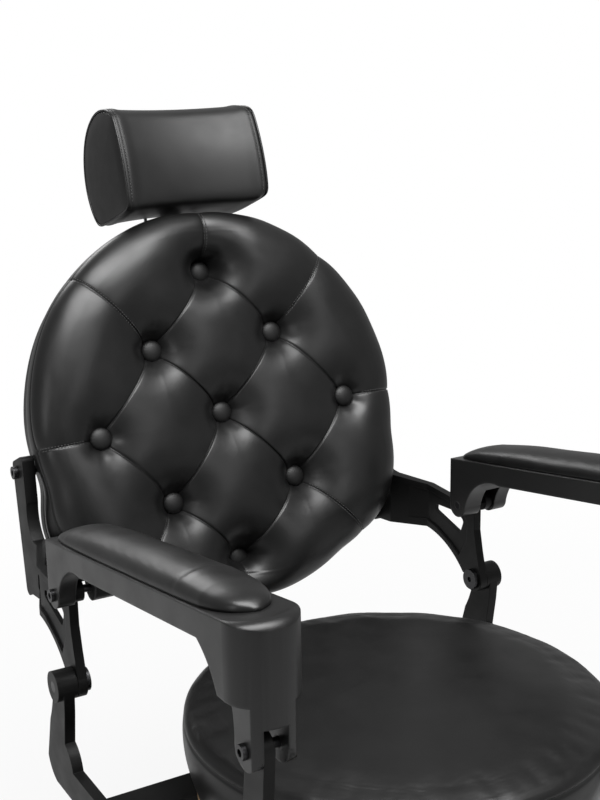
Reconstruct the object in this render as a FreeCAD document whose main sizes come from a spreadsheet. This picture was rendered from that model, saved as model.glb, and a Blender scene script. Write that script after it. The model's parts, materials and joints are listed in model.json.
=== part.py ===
import FreeCAD, Part
import math
import os
import re

import Sketcher

# A threading chair: a round buttoned back and a round seat on a pump column. The back, the armrests and
# the footrest are one linkage. Right is +X, back is +Y, up is +Z, the floor is Z = 0.

doc = FreeCAD.newDocument("ThreadingChair")
sheet = doc.addObject("Spreadsheet::Sheet", "Sizes")

SIZES = [
    # Fits and allowances
    ("overrun", 5, "how far a cutting shape passes through"),
    ("running_gap", 0.05, "radial clearance of a shaft that turns or slides"),
    ("side_gap", 0.5, "clearance beside a moving flat"),
    ("soft_gap", 0.3, "clearance round a soft piece"),
    # Main places
    ("arm_pivot_height", "=rail_bottom + pivot_above_rail", "arm pivot above the floor"),
    ("pivot_above_rail", 263, "arm pivot above the underside of the rails"),
    ("arm_pivot_back", 235, "arm pivot behind the column axis"),
    ("link_back", 14, "lower back pivot behind the arm pivot"),
    ("link_drop", 127, "lower back pivot below the arm pivot"),
    ("front_reach", "=arm_length - nose_overhang", "front hinge ahead of the arm pivot"),
    ("nose_overhang", 22, "nose of an armrest ahead of the front hinge"),
    ("front_rise", 10, "front hinge above the arm pivot"),
    ("side_plane", 316, "middle plane of the back brackets and footrest legs"),
    ("side_plate", 12, "thickness of the back brackets and footrest legs"),
    ("frame_plate", 14, "thickness of the side frames"),
    ("frame_plane", 335, "middle plane of the side frames"),
    ("eye_radius", 20, "radius of the pivot bosses"),
    ("pivot_pin_radius", 7, "radius of the lower pivot bolts"),
    ("bush_wall", 2, "wall of a pivot bush"),
    # Base
    ("base_radius", 300, "outer radius of the base"),
    ("ring_width", 6, "width of the rubber edge ring"),
    ("ring_height", 11, "height of the rubber edge ring"),
    ("ring_lift", 1, "edge ring above the floor"),
    ("plate_thickness", 12, "base plate"),
    ("cover_foot_radius", 286, "foot of the base cover"),
    ("cover_shoulder_radius", 272, "where the cover turns inward"),
    ("cover_shoulder_height", 24, "height of that turn above the floor"),
    ("cover_collar_radius", 62, "collar of the base cover"),
    ("cover_collar_height", 72, "where the collar starts"),
    ("cover_top_height", 88, "top of the base cover"),
    ("cover_wall", 2.5, "wall of the base cover"),
    ("cover_sweep_radius", 420, "hollow sweep of the cover's slope"),
    ("cylinder_radius", 40, "outer radius of the pump cylinder"),
    ("cylinder_bore", 33, "bore radius of the pump cylinder"),
    ("cylinder_floor", 8, "closed bottom of the pump cylinder"),
    ("cylinder_top", "=ram_shoulder - shoulder_lift", "top of the pump cylinder above the floor"),
    ("shoulder_lift", 30, "shoulder of the ram above the pump cylinder"),
    ("gland_radius", 44, "outer radius of the gland nut"),
    ("gland_height", 14, "height of the gland nut"),
    ("ram_radius", 25, "radius of the ram"),
    ("ram_bottom", 140, "lower end of the ram at rest"),
    ("ram_shoulder", 348, "shoulder of the ram at rest"),
    ("piston_height", 26, "height of the piston"),
    ("spigot_radius", 18, "spigot on top of the ram"),
    ("spigot_height", 34, "height of the spigot"),
    ("bearing_radius", 30, "outer radius of the swivel bearing"),
    ("bearing_height", 6, "height of the swivel bearing"),
    ("block_radius", 56, "outer radius of the pump block"),
    ("block_bottom", 90, "underside of the pump block"),
    ("block_height", 34, "height of the pump block"),
    ("ear_reach", 84, "pedal pivot behind the column axis"),
    ("ear_width", 12, "width of each pedal ear"),
    ("ear_gap", 27, "gap between the pedal ears"),
    ("ear_radius", 15, "radius of the pedal ears"),
    ("pedal_width", 26, "width of the pedal bar"),
    ("pedal_thickness", 9, "thickness of the pedal bar"),
    ("pedal_length", 296, "pedal bar from pivot to tip"),
    ("pedal_drop", 30, "tip of the pedal below its pivot"),
    ("pedal_pin_radius", 6, "radius of the pedal pin"),
    ("pad_length", 78, "length of the pedal pad"),
    ("pad_width", 70, "width of the pedal pad"),
    ("pad_wall", 5, "rubber over the pedal bar"),
    # Swivel hub and frame under the seat
    ("hub_radius", 46, "outer radius of the hub socket"),
    ("hub_flange_radius", 96, "radius of the hub flange"),
    ("hub_flange", 8, "thickness of the hub flange"),
    ("plate_width", 240, "width of the swivel plate"),
    ("plate_depth", 300, "depth of the swivel plate"),
    ("swivel_plate_thickness", 10, "thickness of the swivel plate"),
    ("rail_bottom", "=ram_shoulder + rail_lift", "underside of the cross tubes and rails"),
    ("rail_lift", 49, "cross tubes above the shoulder of the ram"),
    ("rail_height", 30, "height of the cross tubes"),
    ("tube_depth", 50, "depth of a cross tube"),
    ("tube_wall", 3, "wall of a cross tube"),
    ("tube_place", 115, "cross tubes ahead of and behind the axis"),
    ("bolt_radius", 5, "shank of the frame bolts"),
    ("bolt_head", 9, "head radius of the frame bolts"),
    ("bolt_head_height", 6, "head height of the frame bolts"),
    ("socket_radius", 4, "hexagon socket of a bolt head"),
    ("socket_depth", 3.5, "depth of that socket"),
    ("hub_bolt_circle", 74, "radius of the hub's bolt circle"),
    ("side_bolt_spread", 15, "side bolts beside the tube's middle"),
    ("end_block", 22, "length of the threaded block in a tube's end"),
    ("sleeve_radius", 50, "outer radius of the column sleeve"),
    ("sleeve_wall", 2.5, "wall of the column sleeve"),
    ("sleeve_length", "=rail_bottom - sleeve_rise", "length of the column sleeve"),
    ("sleeve_rise", 192, "part of the height under the rails that the sleeve leaves free"),
    # Side frames
    ("rail_depth", 42, "height of the rail of a side frame"),
    # Seat
    ("seat_radius", 262, "largest radius of the seat cushion"),
    ("seat_board_radius", 248, "radius of the seat board"),
    ("seat_board_thickness", 15, "thickness of the seat board"),
    ("seat_band", 86, "height of the seat's side band"),
    ("seat_shoulder", 13, "rise of the seat's rolled edge"),
    ("seat_crown", 8, "rise of the seat's crown"),
    ("seat_edge_roll", 36, "width of the seat's rolled edge"),
    ("seat_draw", 12, "how far the seat's side is drawn in"),
    ("screw_radius", 3, "shank of the seat screws"),
    ("screw_head", 6, "head radius of the seat screws"),
    ("screw_spread", 150, "seat screws beside the middle"),
    ("screw_bite", 10, "seat screw inside the board"),
    # Back
    ("recline", 16.4, "back from upright, in degrees"),
    ("back_ahead", 213, "button plane behind the arm pivot"),
    ("back_up", 130, "middle button above the arm pivot"),
    ("back_radius", 288, "largest radius of the back cushion"),
    ("back_shift", 13, "middle of the round back above the middle button"),
    ("corner_across", 161, "middle of a full lower corner beside the middle"),
    ("corner_drop", 119, "middle of a full lower corner below the round's own middle"),
    ("corner_radius", 121, "largest radius of a full lower corner"),
    ("board_corner_radius", 108, "radius of the board's lower corners"),
    ("back_puff", 38, "crest of the tufts ahead of the middle button"),
    ("back_dish", 6, "how far the outer tufts stand further ahead"),
    ("back_roll", 58, "width of the rolled edge"),
    ("back_roll_place", 4, "widest line ahead of the middle button"),
    ("back_draw", 12, "how far the back's side is drawn in"),
    ("back_depth", 46, "rear of the cushion behind the middle button"),
    ("strap_press", 4, "flat on the cushion's flank ahead of the strap"),
    ("board_radius", 275, "radius of the back board"),
    ("board_thickness", 18, "thickness of the back board"),
    ("cover_radius", 268, "radius of the rear cover"),
    ("cover_depth", 16, "depth of the rear cover"),
    ("cover_slope", 40, "width of the rear cover's sloped rim"),
    ("rear_cover_wall", 2.5, "wall of the rear cover"),
    ("notch_gap", 2, "clearance beside the headrest guide in the cover's notch"),
    ("button_across", 99, "step of the button grid across the back"),
    ("button_up", 107, "step of the button grid up the back"),
    ("button_radius", 14, "radius of a button"),
    ("button_height", 10, "height of a button"),
    ("button_seat", 2.3, "floor of a dimple behind the seams that meet there"),
    ("button_side_lead", 19.4, "how far the side buttons stand further ahead"),
    ("button_end_draw", 16.2, "how far the top and bottom buttons are drawn further in"),
    ("dimple_radius", 44, "mouth of the dimple round a button"),
    ("groove_width", 15, "width of a seam's valley"),
    ("groove_depth", 6, "depth of a seam's valley midway"),
    # Back brackets
    ("bracket_depth", 279, "arm pivot to the rear of the strap's top"),
    ("bracket_drop", 127, "height scale of the bracket's outline"),
    ("bracket_web", 6, "thickness of the bracket's recessed web"),
    ("arch_radius", 140, "arch of the bracket's lower edge"),
    ("scallop_radius", 52, "scallop at the foot of the strap"),
    ("knuckle_radius", 14, "knuckle at the arm pivot"),
    ("strap_plane", 291.5, "middle plane of the strap"),
    ("strap_thickness", 17, "thickness of the strap"),
    ("strap_corner", 7, "rounding of the strap's corners"),
    ("crank_start", 130, "where the bracket starts to crank inward"),
    ("crank_end", 192, "where the crank ends"),
    ("strap_bolt_back", 256, "strap bolt behind the arm pivot"),
    ("strap_bolt_up", 82, "strap bolt above the arm pivot"),
    ("strap_bolt_radius", 5, "shank of the strap bolt"),
    ("strap_bolt_head", 9, "head radius of the strap bolt"),
    ("strap_bolt_bite", 34, "strap bolt inside the board"),
    # Cross bar and recline spring
    ("bar_place", 187, "cross bar below the middle button"),
    ("bar_height", 34, "height of the cross bar"),
    ("bar_thickness", 10, "thickness of the cross bar"),
    ("lug_drop", 266, "spring lug below the middle button"),
    ("lug_back", 93, "spring lug behind the button plane"),
    ("lug_thickness", 6, "thickness of a lug plate"),
    ("lug_gap", 17, "gap between the lug plates"),
    ("lug_radius", 13, "radius of the lug's end"),
    ("lug_pin_radius", 4, "radius of the lug pin"),
    ("anchor_back", 165, "spring anchor behind the column axis"),
    ("anchor_height", "=rail_bottom - anchor_drop", "spring anchor above the floor"),
    ("anchor_drop", 25, "spring anchor below the cross tubes"),
    ("anchor_pin_radius", 5, "radius of the anchor pin"),
    ("spring_radius", 11, "radius of the spring cylinder"),
    ("spring_length", 160, "length of the spring cylinder"),
    ("spring_rod_radius", 5, "radius of the spring rod"),
    ("spring_wall", 2.5, "wall of the spring cylinder"),
    ("spring_rod_inside", 40, "rod inside the cylinder at rest"),
    ("rod_eye_radius", 13, "radius of the rod's eye"),
    ("rod_eye_width", 14, "width of the rod's eye"),
    ("open_pivot_gap", 4, "clearance of the open pivot at the lug pin"),
    # Headrest
    ("stem_back", 70, "headrest stem behind the button plane"),
    ("stem_bottom", 85, "lower end of the stem above the middle button"),
    ("stem_top", 336, "upper end of the stem above the middle button"),
    ("stem_width", 36, "width of the flat bar"),
    ("stem_thickness", 6, "thickness of the flat bar"),
    ("rod_spread", 41, "guide rods beside the middle"),
    ("rod_radius", 2.5, "radius of a guide rod"),
    ("guide_low", 196, "underside of the headrest guide"),
    ("guide_height", 60, "height of the headrest guide"),
    ("guide_width", 120, "width of the headrest guide"),
    ("guide_depth", 12, "depth of the headrest guide"),
    ("bush_radius", 4.5, "outer radius of a guide bush"),
    ("head_width", 228, "width of the headrest"),
    ("head_low", 301, "lowest edge of the headrest above the middle button"),
    ("head_height", 157, "height of the headrest"),
    ("head_ahead", 47, "headrest ahead of the button plane"),
    ("head_back", 82, "headrest behind the button plane"),
    ("head_bulge", 24, "bulge of the headrest's rear"),
    ("head_corner", 9, "rounding of the headrest's long corners"),
    ("head_wrap", 20, "hollow of the headrest's face"),
    ("head_arch", 8, "arch of the headrest's underside"),
    ("head_board_width", 160, "width of the headrest board"),
    ("head_board_height", 86, "height of the headrest board"),
    ("head_board_thickness", 12, "thickness of the headrest board"),
    # Armrests
    ("arm_inner", 268, "inner face of an armrest"),
    ("arm_width", 77, "width of an armrest"),
    ("arm_length", 492, "arm pivot to the nose"),
    ("arm_rise", 8.3, "slope of the armrest's top, in degrees"),
    ("arm_tail", 18, "rear face behind the arm pivot"),
    ("arm_top", 67, "rear top edge above the arm pivot"),
    ("arm_beam", 29, "depth of the armrest's beam"),
    ("arm_arch_radius", 62, "arch behind the fork"),
    ("fork_radius", 17, "rounding of the rear fork"),
    ("nose_radius", 36, "rounding of the nose"),
    ("nose_depth", 28, "height of the nose"),
    ("nose_top", 14, "rounding of the nose's top edge"),
    ("nose_sweep", "=arm_width / 2 + nose_top", "radius of the drum that bounds the nose's rounding"),
    ("nose_lift", 0.1, "height at which the rounding runs out, short of tangent"),
    ("slot_width", 25, "width of the slots in the forks"),
    ("slot_height", 26, "rear slot above the arm pivot"),
    ("slot_length", 62, "rear slot ahead of the arm pivot"),
    ("arm_pin_radius", 5, "radius of the arm pivot bolts"),
    ("arm_bolt_head", 8, "head radius of the arm pivot bolts"),
    ("arm_bolt_head_height", 5, "head height of the arm pivot bolts"),
    ("leg_width", 45, "width of the armrest's front leg"),
    ("leg_sweep_radius", 90, "sweep of the armrest's front leg"),
    ("arm_edge", 2, "softened edges of the armrest"),
    ("arm_pad_length", "=arm_length - pad_free", "length of an armrest pad"),
    ("pad_free", 19, "part of an armrest's length that its pad leaves free"),
    ("arm_pad_width", 72, "width of an armrest pad"),
    ("arm_pad_height", 24, "crown of an armrest pad"),
    ("arm_pad_start", 6, "pad ahead of the armrest's rear face"),
    # Footrest
    ("leg_reach", 190, "step plate's tube ahead of the leg pivot"),
    ("leg_drop", 356, "step plate's tube below the leg pivot"),
    ("leg_back_radius", 420, "rear sweep of a footrest leg"),
    ("leg_front_radius", 380, "front sweep of a footrest leg"),
    ("foot_tube_radius", 15, "radius of the footrest tube"),
    ("foot_tube_wall", 3, "wall of the footrest tube"),
    ("step_width", 560, "width of the step plate"),
    ("step_depth", 176, "depth of the step plate"),
    ("step_thickness", 8, "thickness of the step plate"),
    ("step_corner", 28, "corner radius of the step plate"),
    ("step_lip", 14, "height of the step plate's front lip"),
    ("tread_margin", 18, "step plate showing round the tread"),
    ("tread_thickness", 5, "thickness of the tread"),
    ("tread_groove", 4, "width of a groove in the tread"),
    ("tread_groove_depth", 2, "depth of a groove in the tread"),
    # Release lever
    ("lever_back", 60, "lever pivot behind the column axis"),
    ("lever_length", 125, "lever from pivot to tip"),
    ("lever_thickness", 6, "thickness of the lever"),
    ("lever_width", 18, "width of the lever"),
    ("lever_boss", 14, "radius of the lever's boss"),
    ("lever_stud_radius", 6, "radius of the lever's stud"),
    ("grip_length", 60, "length of the lever's grip"),
    ("grip_radius", 11, "radius of the lever's grip"),
]

COUNTS = {"hub_bolts": 4, "tread_grooves": 11, "seam_steps": 6}


def fill_sheet():
    """Write each named size, its value and its note into the spreadsheet."""
    for row, (alias, value, note) in enumerate(SIZES, start=1):
        sheet.set("A%d" % row, alias)
        sheet.set("C%d" % row, note)
        sheet.setAlias("B%d" % row, alias)
    for row, (alias, value, note) in enumerate(SIZES, start=1):
        sheet.set("B%d" % row, str(value))
    doc.recompute()


fill_sheet()
S = {alias: float(sheet.get(alias)) for alias, value, note in SIZES}
ALIAS = re.compile(r"\b(" + "|".join(sorted(S, key=len, reverse=True)) + r")\b")


def full(expression):
    """Give the sheet's name to each alias in an expression."""
    return ALIAS.sub(r"Sizes.\1", str(expression))


def num(expression):
    """The value of an expression in the sheet's sizes."""
    value = sheet.evalExpression(full(expression))
    return float(getattr(value, "Value", value))


def bind(thing, path, expression):
    thing.setExpression(path, full(expression))


def place(thing, x=0, y=0, z=0, axis=None, angle=0):
    """Put an object at a place given in expressions, turned about one axis."""
    turn = FreeCAD.Rotation(FreeCAD.Vector(*(axis or (0, 0, 1))), num(angle))
    thing.Placement = FreeCAD.Placement(FreeCAD.Vector(num(x), num(y), num(z)), turn)
    for path, expression in (("x", x), ("y", y), ("z", z)):
        bind(thing, "Placement.Base." + path, expression)
    if axis and str(angle).strip() in S or "recline" in str(angle) or "arm_rise" in str(angle):
        bind(thing, "Placement.Rotation.Angle", turn_expression(axis, angle))
    return thing


def turn_expression(axis, angle):
    """A rotation is kept with a positive angle, so its expression is too."""
    text = str(angle).strip()
    return text[1:] if text.startswith("-") else text


# Sketches and bodies

def new_sketch(body, role, start):
    """A sketch on one of its body's own planes, moved along that plane's normal."""
    plane = [f for f in body.Origin.OriginFeatures if f.Role == role][0]
    sketch = body.newObject("Sketcher::SketchObject", "Outline")
    sketch.AttachmentSupport = [(plane, "")]
    sketch.MapMode = "FlatFace"
    bind(sketch, "AttachmentOffset.Base.z", start)
    return sketch


def corner(sketch, geometry, end, across, up):
    """Tie one end of a line or arc to two expressions."""
    for kind, expression in (("DistanceX", across), ("DistanceY", up)):
        index = sketch.addConstraint(Sketcher.Constraint(kind, -1, 1, geometry, end, num(expression)))
        bind(sketch, "Constraints[%d]" % index, expression)


def outline(sketch, points):
    """A closed outline. A point is (across, up), or (across, up, radius) where the run to it is an arc
    that bulges to the left of the way travelled, or to the right where the radius starts with minus."""
    count = len(points)
    ends = []
    for i, point in enumerate(points):
        tip = points[(i + 1) % count]
        a = FreeCAD.Vector(num(point[0]), num(point[1]), 0)
        b = FreeCAD.Vector(num(tip[0]), num(tip[1]), 0)
        if len(tip) == 2:
            geometry = sketch.addGeometry(Part.LineSegment(a, b), False)
            ends.append((geometry, 1, 2))
            continue
        text = str(tip[2]).strip()
        right = text.startswith("-")
        expression = text[1:] if right else text
        radius = num(expression)
        along = b - a
        half = along.Length / 2
        left = FreeCAD.Vector(-along.y, along.x, 0)
        left.normalize()
        inward = -1 if not right else 1
        middle = (a + b) * 0.5 + left * (inward * math.sqrt(max(radius * radius - half * half, 0)))
        first, last = (b, a) if not right else (a, b)
        angles = [math.atan2(p.y - middle.y, p.x - middle.x) for p in (first, last)]
        circle = Part.Circle(middle, FreeCAD.Vector(0, 0, 1), radius)
        geometry = sketch.addGeometry(Part.ArcOfCircle(circle, angles[0], angles[1]), False)
        ends.append((geometry, 2, 1) if not right else (geometry, 1, 2))
        index = sketch.addConstraint(Sketcher.Constraint("Radius", geometry, radius))
        bind(sketch, "Constraints[%d]" % index, expression)
    for i in range(count):
        here, there = ends[i], ends[(i + 1) % count]
        sketch.addConstraint(Sketcher.Constraint("Coincident", here[0], here[2], there[0], there[1]))
    for i, point in enumerate(points):
        corner(sketch, ends[i][0], ends[i][1], point[0], point[1])


def hole(sketch, across, up, radius):
    """A round hole inside an outline."""
    middle = FreeCAD.Vector(num(across), num(up), 0)
    circle = Part.Circle(middle, FreeCAD.Vector(0, 0, 1), num(radius))
    geometry = sketch.addGeometry(circle, False)
    corner(sketch, geometry, 3, across, up)
    index = sketch.addConstraint(Sketcher.Constraint("Radius", geometry, num(radius)))
    bind(sketch, "Constraints[%d]" % index, radius)


def round_corners(body, points, picks, radius, direction):
    """Round the edges of a prism that stand on the picked corners of its outline."""
    order = {"X": (1, 2), "Y": (0, 2), "Z": (0, 1)}[direction]
    names = []
    base = body.Tip
    for number, edge in enumerate(base.Shape.Edges, start=1):
        ends = [v.Point for v in edge.Vertexes]
        if len(ends) != 2:
            continue
        for pick in picks:
            spot = (num(points[pick][0]), num(points[pick][1]))
            near = [math.hypot(e[order[0]] - spot[0], e[order[1]] - spot[1]) < 0.01 for e in ends]
            if all(near):
                names.append("Edge%d" % number)
    fillet = body.newObject("PartDesign::Fillet", "Rounding")
    fillet.Base = (base, names)
    bind(fillet, "Radius", radius)
    doc.recompute()


ROLES = {"X": "YZ_Plane", "Y": "XZ_Plane", "Z": "XY_Plane"}


def prism(label, direction, points, low, high, holes=(), rounds=()):
    """A body padded along X, Y or Z between two places. Outlines give the other two axes in order."""
    body = doc.addObject("PartDesign::Body", "Body")
    body.Label = label
    start = low if direction != "Y" else "-(%s)" % high
    sketch = new_sketch(body, ROLES[direction], start)
    outline(sketch, points)
    for across, up, radius in holes:
        hole(sketch, across, up, radius)
    doc.recompute()
    pad = body.newObject("PartDesign::Pad", "Pad")
    pad.Profile = sketch
    bind(pad, "Length", "(%s) - (%s)" % (high, low))
    doc.recompute()
    for picks, radius in rounds:
        round_corners(body, points, picks, radius, direction)
    return body


def turned(label, points, rounds=()):
    """A body turned about Z from an outline of radius and height."""
    body = doc.addObject("PartDesign::Body", "Body")
    body.Label = label
    sketch = new_sketch(body, "XZ_Plane", 0)
    outline(sketch, points)
    doc.recompute()
    turn = body.newObject("PartDesign::Revolution", "Turned")
    turn.Profile = sketch
    turn.ReferenceAxis = (sketch, ["V_Axis"])
    turn.Angle = 360
    doc.recompute()
    return body


def rectangle(left, low, right, high):
    return [(left, low), (right, low), (right, high), (left, high)]


def block(label, x, y, z, length, width, height):
    """A box from its low corner and its three sides."""
    box = doc.addObject("Part::Box", "Box")
    box.Label = label
    for path, expression in (("Length", length), ("Width", width), ("Height", height)):
        bind(box, path, expression)
    return place(box, x, y, z)


TURNS = {"X": (0, 1, 0), "Y": (1, 0, 0), "Z": None}


def rod(label, radius, length, x, y, z, direction="Z"):
    """A cylinder from its first end along X, Y or Z."""
    cylinder = doc.addObject("Part::Cylinder", "Cylinder")
    cylinder.Label = label
    bind(cylinder, "Radius", radius)
    bind(cylinder, "Height", length)
    angle = {"X": 90, "Y": -90, "Z": 0}[direction]
    return place(cylinder, x, y, z, TURNS[direction], angle)


def cut(label, base, *tools):
    """The base less its tools."""
    result = base
    for number, tool in enumerate(tools):
        step = doc.addObject("Part::Cut", "Cut")
        step.Label = label if number == len(tools) - 1 else "%s_step_%d" % (label, number)
        step.Base = result
        step.Tool = tool
        result = step
    return result


def fuse(label, *pieces):
    joined = doc.addObject("Part::MultiFuse", "Fuse")
    joined.Label = label
    joined.Shapes = list(pieces)
    joined.Refine = True
    return joined


def common(label, first, second):
    shared = doc.addObject("Part::Common", "Common")
    shared.Label = label
    shared.Base = first
    shared.Tool = second
    return shared


def group(label, pieces):
    """Several separate solids in one node."""
    together = doc.addObject("Part::Compound", "Group")
    together.Label = label
    together.Links = list(pieces)
    return together


def mirrored(label, source):
    """The left-hand twin of a right-hand piece."""
    twin = doc.addObject("Part::Mirroring", "Mirror")
    twin.Label = label
    twin.Source = source
    twin.Normal = FreeCAD.Vector(1, 0, 0)
    twin.Base = FreeCAD.Vector(0, 0, 0)
    return twin


def shaped(label, shape):
    """A piece whose shape is worked out from the sheet's sizes."""
    feature = doc.addObject("Part::Feature", "Shaped")
    feature.Label = label
    feature.Shape = shape
    return feature


def bolt(label, radius, length, head, head_height, x, y, z, axis=None, angle=0):
    """A bolt with a socket head: the head below its origin, the shank above."""
    points = [
        (0, 0), (0, length), (radius, length), (radius, 0), (head, 0), (head, "-(%s)" % head_height),
        ("socket_radius", "-(%s)" % head_height),
        ("socket_radius", "socket_depth - (%s)" % head_height),
        (0, "socket_depth - (%s)" % head_height)]
    points = points[1:] + points[:1]
    return place(turned(label, points[:-1]), x, y, z, axis, angle)


NODES = []


def node(thing):
    """Keep a finished piece under its label."""
    NODES.append(thing)
    return thing


def pair(label, right):
    """Keep a right-hand piece and its left-hand twin."""
    right.Label = label + "_right"
    node(right)
    node(mirrored(label + "_left", right))
    return right


# Pivot places

ARM = ("arm_pivot_back", "arm_pivot_height")
LOW = ("arm_pivot_back + link_back", "arm_pivot_height - link_drop")
FRONT = ("arm_pivot_back - front_reach", "arm_pivot_height + front_rise")
FRONT_LOW = ("arm_pivot_back - front_reach + link_back", "arm_pivot_height + front_rise - link_drop")


def back_place(thing, along="0", up="0", across="0"):
    """Put a piece that is made about the middle button into the reclined back."""
    y = "arm_pivot_back + back_ahead + (%s) * cos(recline * 1 deg) + (%s) * sin(recline * 1 deg)"
    z = "arm_pivot_height + back_up - (%s) * sin(recline * 1 deg) + (%s) * cos(recline * 1 deg)"
    thing.Placement = FreeCAD.Placement(
        FreeCAD.Vector(num(across), num(y % (along, up)), num(z % (along, up))),
        FreeCAD.Rotation(FreeCAD.Vector(-1, 0, 0), num("recline")))
    bind(thing, "Placement.Base.x", across)
    bind(thing, "Placement.Base.y", y % (along, up))
    bind(thing, "Placement.Base.z", z % (along, up))
    bind(thing, "Placement.Rotation.Angle", "recline")
    return thing


# Base, pump and pedal

def make_base():
    inner = "base_radius - ring_width"
    node(turned("base_plate", [
        (0, 0), (inner, 0), (inner, "plate_thickness"), (0, "plate_thickness")]))
    node(turned("base_edge_ring", [
        (inner, "ring_lift"), ("base_radius - ring_lift", "ring_lift"),
        ("base_radius", "2 * ring_lift"), ("base_radius", "ring_height"),
        ("base_radius - ring_lift", "ring_lift + ring_height"), (inner, "ring_lift + ring_height")]))
    node(turned("base_cover", [
        ("cover_foot_radius - cover_wall", "plate_thickness"),
        ("cover_foot_radius", "plate_thickness"),
        ("cover_foot_radius", "cover_shoulder_height - cover_wall"),
        ("cover_shoulder_radius", "cover_shoulder_height + cover_wall",
         "-(cover_foot_radius - cover_shoulder_radius)"),
        ("cover_collar_radius + cover_wall", "cover_collar_height", "cover_sweep_radius"),
        ("cover_collar_radius", "cover_top_height"),
        ("cover_collar_radius - cover_wall", "cover_top_height"),
        ("cover_collar_radius", "cover_collar_height - cover_wall"),
        ("cover_shoulder_radius", "cover_shoulder_height", "-(cover_sweep_radius)"),
        ("cover_foot_radius - cover_wall", "cover_shoulder_height - 2 * cover_wall",
         "cover_foot_radius - cover_shoulder_radius")]))
    node(turned("pump_cylinder", [
        (0, "plate_thickness"), ("cylinder_radius", "plate_thickness"),
        ("cylinder_radius", "cylinder_top"), ("cylinder_bore", "cylinder_top"),
        ("cylinder_bore", "plate_thickness + cylinder_floor"),
        (0, "plate_thickness + cylinder_floor")]))
    bore = "ram_radius + running_gap"
    node(turned("pump_gland", [
        (bore, "cylinder_top"), ("gland_radius", "cylinder_top"),
        ("gland_radius", "cylinder_top + gland_height"), (bore, "cylinder_top + gland_height")]))


def make_pump_block():
    top = "block_bottom + block_height"
    ring = turned("block_ring", [
        ("cylinder_radius", "block_bottom"), ("block_radius", "block_bottom"),
        ("block_radius", top), ("cylinder_radius", top)])
    middle = "block_bottom + block_height / 2"
    ears = []
    for number, side in enumerate((1, -1)):
        low = "ear_gap / 2" if side > 0 else "-(ear_gap / 2 + ear_width)"
        ears.append(block("ear_%d" % number, low, "cylinder_radius + overrun", "%s - ear_radius" % middle,
                          "ear_width", "ear_reach - cylinder_radius - overrun", "2 * ear_radius"))
        ears.append(rod("ear_end_%d" % number, "ear_radius", "ear_width", low, "ear_reach", middle, "X"))
    whole = fuse("block_whole", ring, *ears)
    bore = rod("block_bore", "pedal_pin_radius", "ear_gap + 2 * ear_width + 2 * overrun",
               "-(ear_gap / 2 + ear_width + overrun)", "ear_reach", middle, "X")
    node(cut("pump_block", whole, bore))
    node(rod("pedal_pin", "pedal_pin_radius", "ear_gap + 2 * ear_width",
             "-(ear_gap / 2 + ear_width)", "ear_reach", middle, "X"))


def make_pedal():
    middle = "block_bottom + block_height / 2"
    half = "pedal_thickness / 2"
    tip = "ear_reach + pedal_length"
    knee = "ear_reach + pedal_length / 3"
    points = [
        ("ear_reach", "%s - ear_radius + 2 * running_gap" % middle),
        (knee, "%s - pedal_thickness" % middle),
        (tip, "%s - pedal_drop - %s" % (middle, half)),
        (tip, "%s - pedal_drop + %s" % (middle, half)),
        (knee, "%s + %s" % (middle, half)),
        ("ear_reach", "%s + ear_radius - 2 * running_gap" % middle)]
    bar = prism("pedal_bar", "X", points, "-pedal_width / 2", "pedal_width / 2")
    boss = rod("pedal_boss", "ear_radius - 2 * running_gap", "pedal_width", "-pedal_width / 2",
               "ear_reach", middle, "X")
    eye = rod("pedal_eye", "pedal_pin_radius + running_gap", "pedal_width + 2 * overrun",
              "-(pedal_width / 2 + overrun)", "ear_reach", middle, "X")
    pedal = node(cut("pump_pedal", fuse("pedal_whole", bar, boss), eye))
    pad_low = "%s - pad_length + pad_wall" % tip
    pad = prism("pad_block", "Z",
                rectangle("-pad_width / 2", pad_low, "pad_width / 2", "%s + pad_wall" % tip),
                "%s - pedal_drop - %s - pad_wall" % (middle, half),
                "%s - pedal_drop + 2 * (%s) + pad_wall" % (middle, half),
                rounds=[((0, 1, 2, 3), "2 * pad_wall")])
    node(cut("pedal_pad", pad, pedal))


# Column and frame under the seat

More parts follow.
